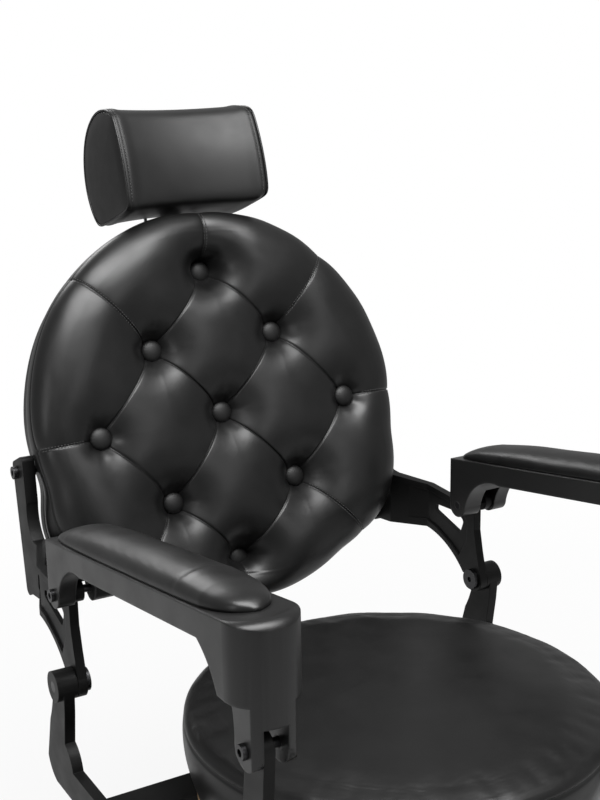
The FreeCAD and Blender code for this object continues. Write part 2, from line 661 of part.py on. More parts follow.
def make_column():
    node(turned("ram", [
        (0, "ram_bottom"), ("ram_radius", "ram_bottom"), ("ram_radius", "ram_shoulder"),
        ("spigot_radius", "ram_shoulder"), ("spigot_radius", "ram_shoulder + spigot_height"),
        (0, "ram_shoulder + spigot_height")]))
    outer = "cylinder_bore - running_gap"
    node(turned("ram_piston", [
        ("ram_radius", "ram_bottom"), (outer, "ram_bottom"), (outer, "ram_bottom + piston_height"),
        ("ram_radius", "ram_bottom + piston_height")]))
    top = "ram_shoulder + bearing_height"
    node(turned("swivel_bearing", [
        ("spigot_radius", "ram_shoulder"), ("bearing_radius", "ram_shoulder"),
        ("bearing_radius", top), ("spigot_radius", top)]))
    bore = "spigot_radius + running_gap"
    low = "%s + 2 * running_gap" % top
    plate_low = "rail_bottom - swivel_plate_thickness"
    hub = turned("hub_whole", [
        (bore, low), ("hub_radius", low), ("hub_radius", "%s - hub_flange" % plate_low),
        ("hub_flange_radius", "%s - hub_flange" % plate_low), ("hub_flange_radius", plate_low),
        (bore, plate_low)])
    holes = []
    bolts = []
    for number in range(COUNTS["hub_bolts"]):
        angle = 45 + 90 * number
        x = "hub_bolt_circle * cos(%d deg)" % angle
        y = "hub_bolt_circle * sin(%d deg)" % angle
        holes.append(rod("hub_hole_%d" % number, "bolt_radius", "hub_flange + 2 * overrun",
                         x, y, "%s - hub_flange - overrun" % plate_low))
        bolts.append(bolt("hub_bolt_%d" % number, "bolt_radius", "hub_flange + swivel_plate_thickness",
                          "bolt_head", "bolt_head_height", x, y, "%s - hub_flange" % plate_low))
    node(cut("swivel_hub", hub, fuse("hub_holes", *holes)))
    node(group("hub_bolts", bolts))
    plate_holes = [("hub_bolt_circle * cos(%d deg)" % (45 + 90 * n),
                    "hub_bolt_circle * sin(%d deg)" % (45 + 90 * n), "bolt_radius")
                   for n in range(COUNTS["hub_bolts"])]
    plate_holes.append(("0", "0", bore))
    plate = prism("swivel_plate_flat", "Z",
                  rectangle("-plate_width / 2", "-plate_depth / 2", "plate_width / 2", "plate_depth / 2"),
                  plate_low, "rail_bottom", holes=plate_holes, rounds=[((0, 1, 2, 3), "bearing_radius")])
    node(fuse("swivel_plate", plate, anchor_ears()))
    sleeve_top = "%s - hub_flange" % plate_low
    node(turned("column_sleeve", [
        ("sleeve_radius - sleeve_wall", "%s - sleeve_length" % sleeve_top),
        ("sleeve_radius", "%s - sleeve_length" % sleeve_top), ("sleeve_radius", sleeve_top),
        ("sleeve_radius - sleeve_wall", sleeve_top)]))


def side_bolt_places():
    """Across the depth of each cross tube, two bolts through each side frame."""
    middle = "rail_bottom + rail_height / 2"
    return [("%d * tube_place + %d * side_bolt_spread" % (row, side), middle)
            for row in (1, -1) for side in (1, -1)]


def make_cross_tubes():
    face = "frame_plane - frame_plate / 2"
    top = "rail_bottom + rail_height"
    for name, row in (("rear_cross_tube", 1), ("front_cross_tube", -1)):
        middle = "%d * tube_place" % row
        tube = block(name + "_outer", "-(%s)" % face, "%s - tube_depth / 2" % middle, "rail_bottom",
                     "2 * (%s)" % face, "tube_depth", "rail_height")
        inside = block(name + "_inner", "-(%s - end_block)" % face,
                       "%s - tube_depth / 2 + tube_wall" % middle, "rail_bottom + tube_wall",
                       "2 * (%s - end_block)" % face, "tube_depth - 2 * tube_wall",
                       "rail_height - 2 * tube_wall")
        holes = [rod("%s_screw_hole_%d" % (name, side), "screw_radius", "rail_height + 2 * overrun",
                     "%d * screw_spread" % side, middle, "rail_bottom - overrun") for side in (1, -1)]
        for y, z in side_bolt_places():
            if ("%d * tube_place" % row) not in y:
                continue
            for side in (1, -1):
                start = "%s - end_block" % face if side > 0 else "-(%s)" % face
                holes.append(rod("%s_side_hole" % name, "bolt_radius", "end_block", start, y, z, "X"))
        node(cut(name, tube, inside, fuse(name + "_holes", *holes)))


def make_side_frames():
    post = "(arm_pivot_height - link_drop - rail_bottom)"
    low = "(rail_bottom + rail_height - rail_depth)"
    rail_top = "(rail_bottom + rail_height)"
    eye = "eye_radius"
    points = [
        ("%s - %s" % (LOW[0], eye), LOW[1]),
        ("%s - 0.85 * %s" % (LOW[0], eye), "%s - 0.24 * %s" % (LOW[1], post)),
        ("%s - 0.5 * %s" % (LOW[0], eye), "%s - 0.56 * %s" % (LOW[1], post)),
        ("%s - 1.7 * %s" % (LOW[0], eye), rail_top, "-(0.3 * %s)" % post),
        ("%s + 1.6 * %s" % (FRONT_LOW[0], eye), rail_top),
        ("%s + 0.9 * %s" % (FRONT_LOW[0], eye), "%s + 0.6 * %s" % (rail_top, eye), "-(eye_radius)"),
        ("%s + %s" % (FRONT_LOW[0], eye), FRONT_LOW[1]),
        ("%s - %s" % (FRONT_LOW[0], eye), FRONT_LOW[1]),
        ("%s - 1.1 * %s" % (FRONT_LOW[0], eye), "%s + 0.3 * %s" % (low, eye)),
        ("%s - 0.6 * %s" % (FRONT_LOW[0], eye), low, "-(eye_radius)"),
        ("%s + 1.5 * %s" % (LOW[0], eye), low),
        ("%s + 2.9 * %s" % (LOW[0], eye), "%s + 1.3 * %s" % (low, eye), "-(2 * eye_radius)"),
        ("%s + 2 * %s" % (LOW[0], eye), "%s - 0.46 * %s" % (LOW[1], post)),
        ("%s + 1.25 * %s" % (LOW[0], eye), "%s - 0.2 * %s" % (LOW[1], post), "7 * eye_radius"),
        ("%s + %s" % (LOW[0], eye), LOW[1])]
    inner = "frame_plane - frame_plate / 2"
    outer = "frame_plane + frame_plate / 2"
    side_holes = [(y, z, "bolt_radius") for y, z in side_bolt_places()]
    stud = ("lever_back", "rail_bottom + rail_height / 2", "lever_stud_radius")
    plate = prism("side_frame_plate", "X", points, inner, outer, holes=side_holes + [stud])
    start = "side_plane + side_plate / 2 + side_gap"
    bosses = [rod("boss_%d" % n, "eye_radius", "frame_plane + frame_plate - (%s)" % start,
                  start, spot[0], spot[1], "X") for n, spot in enumerate((LOW, FRONT_LOW))]
    whole = fuse("side_frame_whole", plate, *bosses)
    bores = [rod("bore_%d" % n, "pivot_pin_radius", "frame_plane + frame_plate + 2 * overrun - (%s)" % start,
                 "%s - overrun" % start, spot[0], spot[1], "X") for n, spot in enumerate((LOW, FRONT_LOW))]
    frame = cut("side_frame", whole, fuse("side_frame_bores", *bores))
    pair("side_frame", frame)
    bolts = []
    for side in (1, -1):
        for number, (y, z) in enumerate(side_bolt_places()):
            bolts.append(bolt("side_bolt", "bolt_radius", "frame_plate + end_block", "bolt_head",
                              "bolt_head_height", "%d * (%s)" % (side, outer), y, z, (0, 1, 0), -90 * side))
    node(group("side_bolts", bolts))
    for name, spot in (("back_pivot_bolts", LOW), ("leg_pivot_bolts", FRONT_LOW)):
        pins = []
        for side in (1, -1):
            inside = "side_plane - side_plate / 2 - side_gap"
            pins.append(bolt("pivot_bolt", "pivot_pin_radius", "frame_plane + frame_plate - (%s)" % inside,
                             "eye_radius - 5 * bush_wall / 2", "bolt_head_height",
                             "%d * (%s)" % (side, inside), spot[0], spot[1], (0, 1, 0), 90 * side))
        node(group(name, pins))


# Seat

def make_seat():
    board_low = "rail_bottom + rail_height"
    board_top = "%s + seat_board_thickness" % board_low
    holes = [("%d * screw_spread" % side, "%d * tube_place" % row, "screw_radius")
             for side in (1, -1) for row in (1, -1)]
    disc = turned("board_disc", [
        (0, board_low), ("seat_board_radius", board_low), ("seat_board_radius", board_top),
        (0, board_top)])
    pits = [rod("pit", "screw_radius", "overrun + screw_bite", x, y, "%s - overrun" % board_low)
            for x, y, radius in holes]
    node(cut("seat_board", disc, fuse("seat_pits", *pits)))
    node(group("seat_screws", [
        bolt("seat_screw", "screw_radius", "rail_height + screw_bite", "screw_head", "bolt_head_height",
             x, y, "rail_bottom") for x, y, radius in holes]))
    edge_top = "%s + seat_band + seat_shoulder" % board_top
    node(turned("seat_cushion", [
        (0, board_top),
        ("seat_radius - seat_draw", board_top),
        ("seat_radius", "%s + seat_band" % board_top, "-(2 * seat_band)"),
        ("seat_radius - seat_edge_roll", edge_top, "-(seat_edge_roll)"),
        (0, "%s + seat_crown" % edge_top,
         "-(((seat_radius - seat_edge_roll)^2 + seat_crown^2) / (2 * seat_crown))")]))


# Back

def face_depth(radius):
    """How far the back's tufted face stands ahead of the middle button at a radius."""
    share = radius / (S["button_across"] + S["button_up"])
    return S["back_puff"] + S["back_dish"] * share * share


def button_floor(x, z):
    """Place of a dimple's floor along the back's normal, for a button at a place."""
    side = x / (2 * S["button_across"])
    end = z / (2 * S["button_up"])
    return S["button_seat"] - S["button_side_lead"] * side ** 2 + S["button_end_draw"] * end ** 2


def button_places():
    """A grid of three by three, stood on its corner."""
    across = S["button_across"]
    up = S["button_up"]
    return [(across * (i - j), up * (2 - i - j), (i, j)) for i in range(3) for j in range(3)]


def valley(start, end, depths):
    """A cutting shape for one seam: triangles along the seam, their point on the seam."""
    wires = []
    along = FreeCAD.Vector(end[0] - start[0], 0, end[1] - start[1])
    across = FreeCAD.Vector(along.z, 0, -along.x)
    across.normalize()
    proud = S["back_puff"] + S["back_dish"] + S["overrun"] * 4
    for number, depth in enumerate(depths):
        share = number / (len(depths) - 1)
        spot = FreeCAD.Vector(start[0], 0, start[1]) + along * share
        tip = FreeCAD.Vector(spot.x, depth, spot.z)
        top = FreeCAD.Vector(spot.x, -proud, spot.z)
        opening = S["groove_width"] * (1 + (depth + proud) / (2 * proud))
        wires.append(Part.makePolygon([tip, top + across * opening, top - across * opening, tip]))
    return Part.makeLoft(wires, True, True)


def surface_depth(x, z):
    """Place of the cushion's front along the back's normal, over the rolled edge too."""
    places = []
    corner_z = S["back_shift"] - S["corner_drop"]
    for across, up, widest, flat in (
            (0, S["back_shift"], S["back_radius"], False),
            (S["corner_across"], corner_z, S["corner_radius"], True),
            (-S["corner_across"], corner_z, S["corner_radius"], True)):
        radius = math.hypot(x - across, z - up)
        roll = widest - S["back_roll"]
        level = S["back_puff"] if flat else face_depth(min(radius, roll))
        share = min(max(radius - roll, 0) / S["back_roll"], 1)
        places.append(-S["back_roll_place"] - (level - S["back_roll_place"]) * math.sqrt(1 - share * share))
    return min(places)


def seam_depths(start, end, to_edge):
    """Depths along a seam: a button's own at the button, just under the face away from it."""
    depths = []
    for step in range(COUNTS["seam_steps"] + 1):
        share = step / COUNTS["seam_steps"]
        x = start[0] + (end[0] - start[0]) * share
        z = start[1] + (end[1] - start[1]) * share
        rise = math.sin(math.pi * (min(share, 0.5) if to_edge else share))
        face = surface_depth(x, z) + S["groove_depth"]
        button = button_floor(x, z) - S["button_seat"]
        depths.append(button + (face - button) * rise)
    return depths


def cushion_round(widest_radius, flat_face):
    """A round cushion: a dished or flat face, a rolled edge and a side that is drawn in behind."""
    roll = widest_radius - S["back_roll"]
    front = -S["back_puff"] if flat_face else -face_depth(roll)
    widest = -S["back_roll_place"]
    drawn = widest_radius - S["back_draw"]
    depth = S["back_depth"]
    vector = FreeCAD.Vector
    crown = vector(0, -S["back_puff"], 0)
    flat = vector(S["button_radius"], -S["back_puff"], 0)
    edge = vector(roll, front, 0)
    side = vector(widest_radius, widest, 0)
    corner_share = math.sqrt(0.5)
    bend = vector(roll + S["back_roll"] * corner_share, widest + (front - widest) * corner_share, 0)
    rear = vector(drawn, depth, 0)
    swell = vector((widest_radius + drawn) / 2 + S["back_draw"] / 4, (widest + depth) / 2, 0)
    centre = vector(0, depth, 0)
    if flat_face:
        face = [Part.makeLine(crown, edge)]
    else:
        half = vector(roll / 2, -face_depth(roll / 2), 0)
        face = [Part.makeLine(crown, flat), Part.Arc(flat, half, edge).toShape()]
    wire = Part.Wire(face + [
        Part.Arc(edge, bend, side).toShape(),
        Part.Arc(side, swell, rear).toShape(), Part.makeLine(rear, centre),
        Part.makeLine(centre, crown)])
    return Part.Face(wire).revolve(vector(0, 0, 0), vector(0, 1, 0), 360)


def make_back_cushion():
    roll = S["back_radius"] - S["back_roll"]
    vector = FreeCAD.Vector
    body = cushion_round(S["back_radius"], False)
    body.translate(vector(0, 0, S["back_shift"]))
    for side in (1, -1):
        corner = cushion_round(S["corner_radius"], True)
        corner.translate(vector(side * S["corner_across"], 0, S["back_shift"] - S["corner_drop"]))
        body = body.fuse(corner)
    body = body.removeSplitter()
    tools = []
    spots = {key: (x, z) for x, z, key in button_places()}
    for x, z in spots.values():
        floor = button_floor(x, z)
        mouth = -face_depth(min(math.hypot(x, z), roll)) - S["overrun"]
        tools.append(Part.makeCone(S["button_radius"], S["dimple_radius"], floor - mouth,
                                   vector(x, floor, z), vector(0, -1, 0)))
    for (i, j), spot in spots.items():
        for step in ((1, 0), (0, 1)):
            other = spots.get((i + step[0], j + step[1]))
            if other:
                tools.append(valley(spot, other, seam_depths(spot, other, False)))
    reach = S["back_radius"] + S["back_roll"]
    for x, z in spots.values():
        radius = math.hypot(x, z)
        if radius > S["button_radius"]:
            end = (x / radius * reach, z / radius * reach)
            tools.append(valley((x, z), end, seam_depths((x, z), end, True)))
    # The flanks are pressed flat where the straps lie against them
    flat = S["strap_plane"] - S["strap_thickness"] / 2 - S["soft_gap"]
    front = S["back_roll_place"] + S["strap_press"]
    low = S["corner_drop"]
    for side in (1, -1):
        left = flat if side > 0 else -flat - S["back_roll"]
        tools.append(Part.makeBox(S["back_roll"], S["back_depth"], low,
                                  vector(left, front, -low)))
    for tool in tools:
        body = body.cut(tool)
    return body


def make_back():
    cushion = make_back_cushion()
    print("tufted back: %d solids, volume %.0f" % (len(cushion.Solids), cushion.Volume))
    back_place(node(shaped("back_cushion", cushion)))
    rear = "back_depth + board_thickness"
    discs = []
    for radius, up, across in (
            ("board_radius", "back_shift", "0"),
            ("board_corner_radius", "back_shift - corner_drop", "corner_across"),
            ("board_corner_radius", "back_shift - corner_drop", "-corner_across")):
        discs.append(place_round("board_disc_back", [
            (0, 0), (radius, 0), (radius, "board_thickness"), (0, "board_thickness")],
            "back_depth", up, across))
    board = fuse("board_whole", *discs)
    strap_holes = [strap_bolt_rod("strap_pit", side, "strap_bolt_radius", "strap_bolt_bite")
                   for side in (1, -1)]
    node(cut("back_board", board, fuse("strap_pits", *strap_holes)))
    wall = "rear_cover_wall"
    shell = place_round("cover_shell", [
        ("cover_radius - %s" % wall, 0), ("cover_radius", 0), ("cover_radius", "cover_depth / 2"),
        ("cover_radius - cover_slope", "cover_depth"), (0, "cover_depth"),
        (0, "cover_depth - %s" % wall), ("cover_radius - cover_slope", "cover_depth - %s" % wall),
        ("cover_radius - %s" % wall, "cover_depth / 2 - %s / 2" % wall)], rear, "back_shift")
    notch = back_box("cover_notch", "guide_width + 2 * notch_gap", "cover_depth - %s" % wall, "cover_radius",
                     rear, "guide_low", "-(guide_width / 2 + notch_gap)")
    node(cut("back_cover", shell, notch))
    make_buttons()
    bolts = []
    for side in (1, -1):
        bolts.append(bolt("strap_bolt", "strap_bolt_radius", "strap_thickness + strap_bolt_bite",
                          "strap_bolt_head", "bolt_head_height",
                          "%d * (strap_plane + strap_thickness / 2)" % side,
                          "arm_pivot_back + strap_bolt_back", "arm_pivot_height + strap_bolt_up",
                          (0, 1, 0), -90 * side))
    node(group("strap_bolts", bolts))


def strap_bolt_rod(label, side, radius, length):
    """A cylinder on a strap bolt's axis, from the strap's inner face inward."""
    inner = "strap_plane - strap_thickness / 2"
    start = "%s - (%s)" % (inner, length) if side > 0 else "-(%s)" % inner
    return rod(label, radius, length, start, "arm_pivot_back + strap_bolt_back",
               "arm_pivot_height + strap_bolt_up", "X")


def place_round(label, points, along, up, across="0"):
    """A piece turned about the normal of the reclined back."""
    body = turned(label, points)
    y = "arm_pivot_back + back_ahead + (%s) * cos(recline * 1 deg) + (%s) * sin(recline * 1 deg)"
    z = "arm_pivot_height + back_up - (%s) * sin(recline * 1 deg) + (%s) * cos(recline * 1 deg)"
    body.Placement = FreeCAD.Placement(
        FreeCAD.Vector(num(across), num(y % (along, up)), num(z % (along, up))),
        FreeCAD.Rotation(FreeCAD.Vector(-1, 0, 0), num("90 + recline")))
    bind(body, "Placement.Base.x", across)
    bind(body, "Placement.Base.y", y % (along, up))
    bind(body, "Placement.Base.z", z % (along, up))
    bind(body, "Placement.Rotation.Angle", "90 + recline")
    return body


def back_box(label, width, depth, height, along, up, across):
    """A box in the reclined back, from its low front left corner."""
    box = doc.addObject("Part::Box", "Box")
    box.Label = label
    for path, expression in (("Length", width), ("Width", depth), ("Height", height)):
        bind(box, path, expression)
    return back_place(box, along, up, across)


def back_rod(label, radius, height, along, up, across):
    """A cylinder in the reclined back that runs up along it."""
    cylinder = doc.addObject("Part::Cylinder", "Cylinder")
    cylinder.Label = label
    bind(cylinder, "Radius", radius)
    bind(cylinder, "Height", height)
    return back_place(cylinder, along, up, across)


BUTTON_SHARES = {"rim": 0.3, "middle": (0.66, 0.84), "flat": 0.16}


def make_buttons():
    """A domed button sits in the floor of each dimple."""
    domes = []
    for x, z, key in button_places():
        floor = button_floor(x, z)
        radius = S["button_radius"] - S["soft_gap"]
        height = S["button_height"]
        vector = FreeCAD.Vector
        shares = BUTTON_SHARES
        low = vector(radius, -height * shares["rim"], 0)
        top = vector(0, -height, 0)
        flat = vector(radius * shares["flat"], -height, 0)
        middle = vector(radius * shares["middle"][0], -height * shares["middle"][1], 0)
        wire = Part.Wire([
            Part.makeLine(vector(0, 0, 0), vector(radius, 0, 0)),
            Part.makeLine(vector(radius, 0, 0), low), Part.Arc(low, middle, flat).toShape(),
            Part.makeLine(flat, top), Part.makeLine(top, vector(0, 0, 0))])
        dome = Part.Face(wire).revolve(vector(0, 0, 0), vector(0, 1, 0), 360)
        dome.translate(vector(x, floor - S["soft_gap"], z))
        domes.append(dome)
    back_place(node(shaped("back_buttons", Part.makeCompound(domes))))


BRACKET_SHARES = {
    # Places as shares of the bracket's depth and drop, measured from the arm pivot
    "leg_top_rear": (0.14, -0.09), "top_edge_start": (0.24, -0.115), "top_edge_end": (0.74, -0.03),
    "scallop_end": (0.8, 0.36), "strap_front": (0.82, 0.885), "strap_rear": (0.975, 0.735),
    "lobe": (0.88, -0.79), "flat_start": (0.81, -0.69), "flat_end": (0.47, -0.62),
    "arch_end": (0.137, -0.98), "eye_front": (-0.02, -0.98), "leg_low": (0.02, -0.66),
    "leg_mid": (0.045, -0.4), "neck_low": (0.045, -0.1), "neck_top": (0.03, 0.085)}

WINDOW_SHARES = [(0.4, -0.29), (0.205, -0.275), (0.15, -0.355), (0.18, -0.52), (0.405, -0.37)]

RECESS_SHARES = [
    (0.34, -0.17), (0.56, -0.14), (0.68, -0.12), (0.7, -0.56), (0.49, -0.53), (0.39, -0.57),
    (0.26, -0.69), (0.175, -0.8), (0.11, -0.56), (0.105, -0.34), (0.16, -0.19)]


def bracket_point(share, radius=None):
    spot = ("arm_pivot_back + %g * bracket_depth" % share[0],
            "arm_pivot_height + %g * bracket_drop" % share[1])
    return spot + (radius,) if radius else spot


def plan_strip(label, front_half, rear_half):
    """The bracket seen from above: a plate that cranks inward to the strap."""
    start = "arm_pivot_back + crank_start"
    end = "arm_pivot_back + crank_end"
    head = "arm_pivot_back - 2 * eye_radius"
    tail = "arm_pivot_back + bracket_depth + eye_radius"
    points = [
        ("side_plane - %s" % front_half, head), ("side_plane + %s" % front_half, head),
        ("side_plane + %s" % front_half, start), ("strap_plane + %s" % rear_half, end),
        ("strap_plane + %s" % rear_half, tail), ("strap_plane - %s" % rear_half, tail),
        ("strap_plane - %s" % rear_half, end), ("side_plane - %s" % front_half, start)]
    low = "arm_pivot_height - 2 * bracket_drop"
    high = "arm_pivot_height + 2 * bracket_drop"
    return prism(label, "Z", points, low, high)


def make_brackets():
    shares = BRACKET_SHARES
    points = [
        bracket_point(shares["neck_top"]), bracket_point(shares["neck_low"]),
        bracket_point(shares["leg_mid"]),
        bracket_point(shares["leg_low"]), bracket_point(shares["eye_front"]),
        bracket_point(shares["arch_end"]),
        bracket_point(shares["flat_end"], "arch_radius"),
        bracket_point(shares["flat_start"]), bracket_point(shares["lobe"]),
        bracket_point(shares["strap_rear"]), bracket_point(shares["strap_front"]),
        bracket_point(shares["scallop_end"]),
        bracket_point(shares["top_edge_end"], "scallop_radius"),
        bracket_point(shares["top_edge_start"]), bracket_point(shares["leg_top_rear"])]
    wide = ("strap_plane - 2 * strap_thickness", "side_plane + 2 * side_plate")
    window = [bracket_point(share) for share in WINDOW_SHARES]
    side = prism("bracket_side", "X", points, wide[0], wide[1],
                 rounds=[((9, 10), "strap_corner"), ((8,), "1.4 * strap_corner")])
    opening = prism("bracket_window", "X", window, wide[0], wide[1],
                    rounds=[((0, 4), "strap_corner * 0.55"), ((1, 2, 3), "strap_corner * 0.8")])
    plan = plan_strip("bracket_plan", "side_plate / 2", "strap_thickness / 2")
    web = plan_strip("bracket_web_plan", "bracket_web / 2", "strap_thickness / 2 - bracket_web / 2")
    recess = prism("bracket_recess", "X", [bracket_point(share) for share in RECESS_SHARES],
                   wide[0], wide[1], rounds=[((2, 3, 8), "strap_corner * 0.8")])
    plate = common("bracket_plate", side, plan)
    hollow = cut("bracket_hollow", common("bracket_hollow_whole", recess, plan), web)
    left = "side_plane - side_plate / 2"
    boss = rod("strap_boss", "board_thickness / 2", "strap_plane - board_radius", "board_radius",
               "arm_pivot_back + strap_bolt_back", "arm_pivot_height + strap_bolt_up", "X")
    knuckle = rod("bracket_knuckle", "knuckle_radius", "side_plate", left, ARM[0], ARM[1], "X")
    eye = rod("bracket_eye", "eye_radius", "side_plate", left, LOW[0], LOW[1], "X")
    whole = fuse("bracket_whole", cut("bracket_open", plate, hollow, opening), boss, knuckle, eye)
    bores = fuse("bracket_bores",
                 rod("arm_bore", "arm_pin_radius", "2 * side_plate", "%s - side_plate / 2" % left,
                     ARM[0], ARM[1], "X"),
                 rod("low_bore", "pivot_pin_radius + bush_wall", "2 * side_plate",
                     "%s - side_plate / 2" % left, LOW[0], LOW[1], "X"),
                 strap_bolt_rod_through())
    pair("back_bracket", cut("back_bracket", whole, bores))
    for name, spot in (("back_pivot_bushes", LOW), ("leg_pivot_bushes", FRONT_LOW)):
        bushes = []
        for side_sign in (1, -1):
            bush = turned("bush", [
                ("pivot_pin_radius + running_gap", 0), ("pivot_pin_radius + bush_wall", 0),
                ("pivot_pin_radius + bush_wall", "side_plate"),
                ("pivot_pin_radius + running_gap", "side_plate")])
            x = left if side_sign > 0 else "-(%s)" % left
            bushes.append(place(bush, x, spot[0], spot[1], (0, 1, 0), 90 * side_sign))
        node(group(name, bushes))
    arm_bolts = []
    for side_sign in (1, -1):
        outer = "arm_inner + arm_width"
        arm_bolts.append(bolt("arm_bolt", "arm_pin_radius", "arm_width", "arm_bolt_head",
                              "arm_bolt_head_height", "%d * (%s + running_gap)" % (side_sign, outer),
                              ARM[0], ARM[1], (0, 1, 0), -90 * side_sign))
    node(group("arm_pivot_bolts", arm_bolts))


def strap_bolt_rod_through():
    """The strap's own bolt hole."""
    start = "board_radius - overrun"
    return rod("strap_hole", "strap_bolt_radius", "strap_plane + strap_thickness - board_radius", start,
               "arm_pivot_back + strap_bolt_back", "arm_pivot_height + strap_bolt_up", "X")


def make_cross_bar():
    face = "back_depth + board_thickness + cover_depth"
    half = "strap_plane - strap_thickness / 2"
    bar = back_box("bar_flat", "2 * (%s)" % half, "bar_thickness", "bar_height", face,
                   "-(bar_place + bar_height / 2)", "-(%s)" % half)
    pieces = [bar]
    bores = []
    for side in (1, -1):
        low = "lug_gap / 2" if side > 0 else "-(lug_gap / 2 + lug_thickness)"
        pieces.append(back_box("lug_plate_%d" % side, "lug_thickness", "2 * lug_radius",
                               "lug_drop - bar_place", "lug_back - lug_radius", "-lug_drop", low))
        pieces.append(lug_rod("lug_end_%d" % side, "lug_radius", "lug_thickness", low))
    bores.append(lug_rod("lug_bore", "lug_pin_radius", "2 * (lug_gap + lug_thickness)",
                         "-(lug_gap + lug_thickness)"))
    node(cut("cross_bar", fuse("bar_whole", *pieces), bores[0]))
    node(lug_rod("spring_lug_pin", "lug_pin_radius", "lug_gap + 2 * lug_thickness",
                 "-(lug_gap / 2 + lug_thickness)"))


LUG = ("arm_pivot_back + back_ahead + lug_back * cos(recline * 1 deg) - lug_drop * sin(recline * 1 deg)",
       "arm_pivot_height + back_up - lug_back * sin(recline * 1 deg) - lug_drop * cos(recline * 1 deg)")


def lug_rod(label, radius, length, start):
    return rod(label, radius, length, start, LUG[0], LUG[1], "X")


def make_recline_spring():
    """The spring's cylinder swings on the anchor pin and its rod ends in an eye round the lug pin."""
    vector = FreeCAD.Vector
    anchor = vector(0, num("anchor_back"), num("anchor_height"))
    lug = vector(0, num(LUG[0]), num(LUG[1]))
    span = (lug - anchor).Length
    way = lug - anchor
    way.normalize()
    turn = FreeCAD.Rotation(vector(0, 0, 1), way)
    radius, wall = S["spring_radius"], S["spring_wall"]
    length = S["spring_length"]
    start = S["anchor_pin_radius"] + wall
    tube = Part.makeCylinder(radius, length - start, vector(0, 0, start))
    tube = tube.fuse(Part.makeCylinder(radius, 2 * radius, vector(-radius, 0, 0), vector(1, 0, 0)))
    tube = tube.cut(Part.makeCylinder(S["anchor_pin_radius"] + S["running_gap"], 4 * radius,
                                      vector(-2 * radius, 0, 0), vector(1, 0, 0)))
    inside = Part.makeCylinder(radius - wall, length - wall - 2 * radius, vector(0, 0, 2 * radius))
    mouth = Part.makeCylinder(S["spring_rod_radius"] + S["running_gap"], 2 * length,
                              vector(0, 0, 2 * radius))
    tube = tube.cut([inside, mouth])
    body = shaped("recline_cylinder", tube)
    body.Placement = FreeCAD.Placement(anchor, turn)
    node(body)
    rod_start = length - S["spring_rod_inside"]
    eye = S["rod_eye_radius"]
    width = S["rod_eye_width"]
    bar = Part.makeCylinder(S["spring_rod_radius"], span - rod_start - S["lug_pin_radius"],
                            vector(0, 0, rod_start))
    ring = Part.makeCylinder(eye, width, vector(-width / 2, 0, span), vector(1, 0, 0))
    bore = Part.makeCylinder(S["lug_pin_radius"] + S["open_pivot_gap"], 2 * width,
                             vector(-width, 0, span), vector(1, 0, 0))
    slider = shaped("recline_rod", bar.fuse(ring).cut(bore))
    slider.Placement = FreeCAD.Placement(anchor, turn)
    node(slider)
    ear_length = "2 * (spring_radius + side_gap + lug_thickness)"
    pin = rod("spring_anchor_pin", "anchor_pin_radius", ear_length,
              "-(%s) / 2" % ear_length, "anchor_back", "anchor_height", "X")
    stud = rod("lever_stud", "lever_stud_radius",
               "frame_plate + lever_thickness + grip_radius - lever_thickness / 2 + side_gap",
               "frame_plane - frame_plate / 2", "lever_back", "rail_bottom + rail_height / 2", "X")
    node(group("fixed_pins", [pin, stud]))


def anchor_ears():
    """Two ears under the swivel plate's rear edge hold the spring's anchor pin."""
    ears = []
    top = "rail_bottom - swivel_plate_thickness"
    for side in (1, -1):
        low = ("spring_radius + side_gap" if side > 0
               else "-(spring_radius + side_gap + lug_thickness)")
        ears.append(block("anchor_plate", low, "anchor_back - 3 * spring_radius",
                          "anchor_height - spring_radius", "lug_thickness",
                          "3 * spring_radius", "%s - anchor_height + spring_radius" % top))
        ears.append(rod("anchor_end", "spring_radius", "lug_thickness", low, "anchor_back",
                        "anchor_height", "X"))
    bore = rod("anchor_bore", "anchor_pin_radius", "4 * spring_radius", "-2 * spring_radius",
               "anchor_back", "anchor_height", "X")
    return cut("spring_anchor", fuse("anchor_ears", *ears), bore)


# Headrest

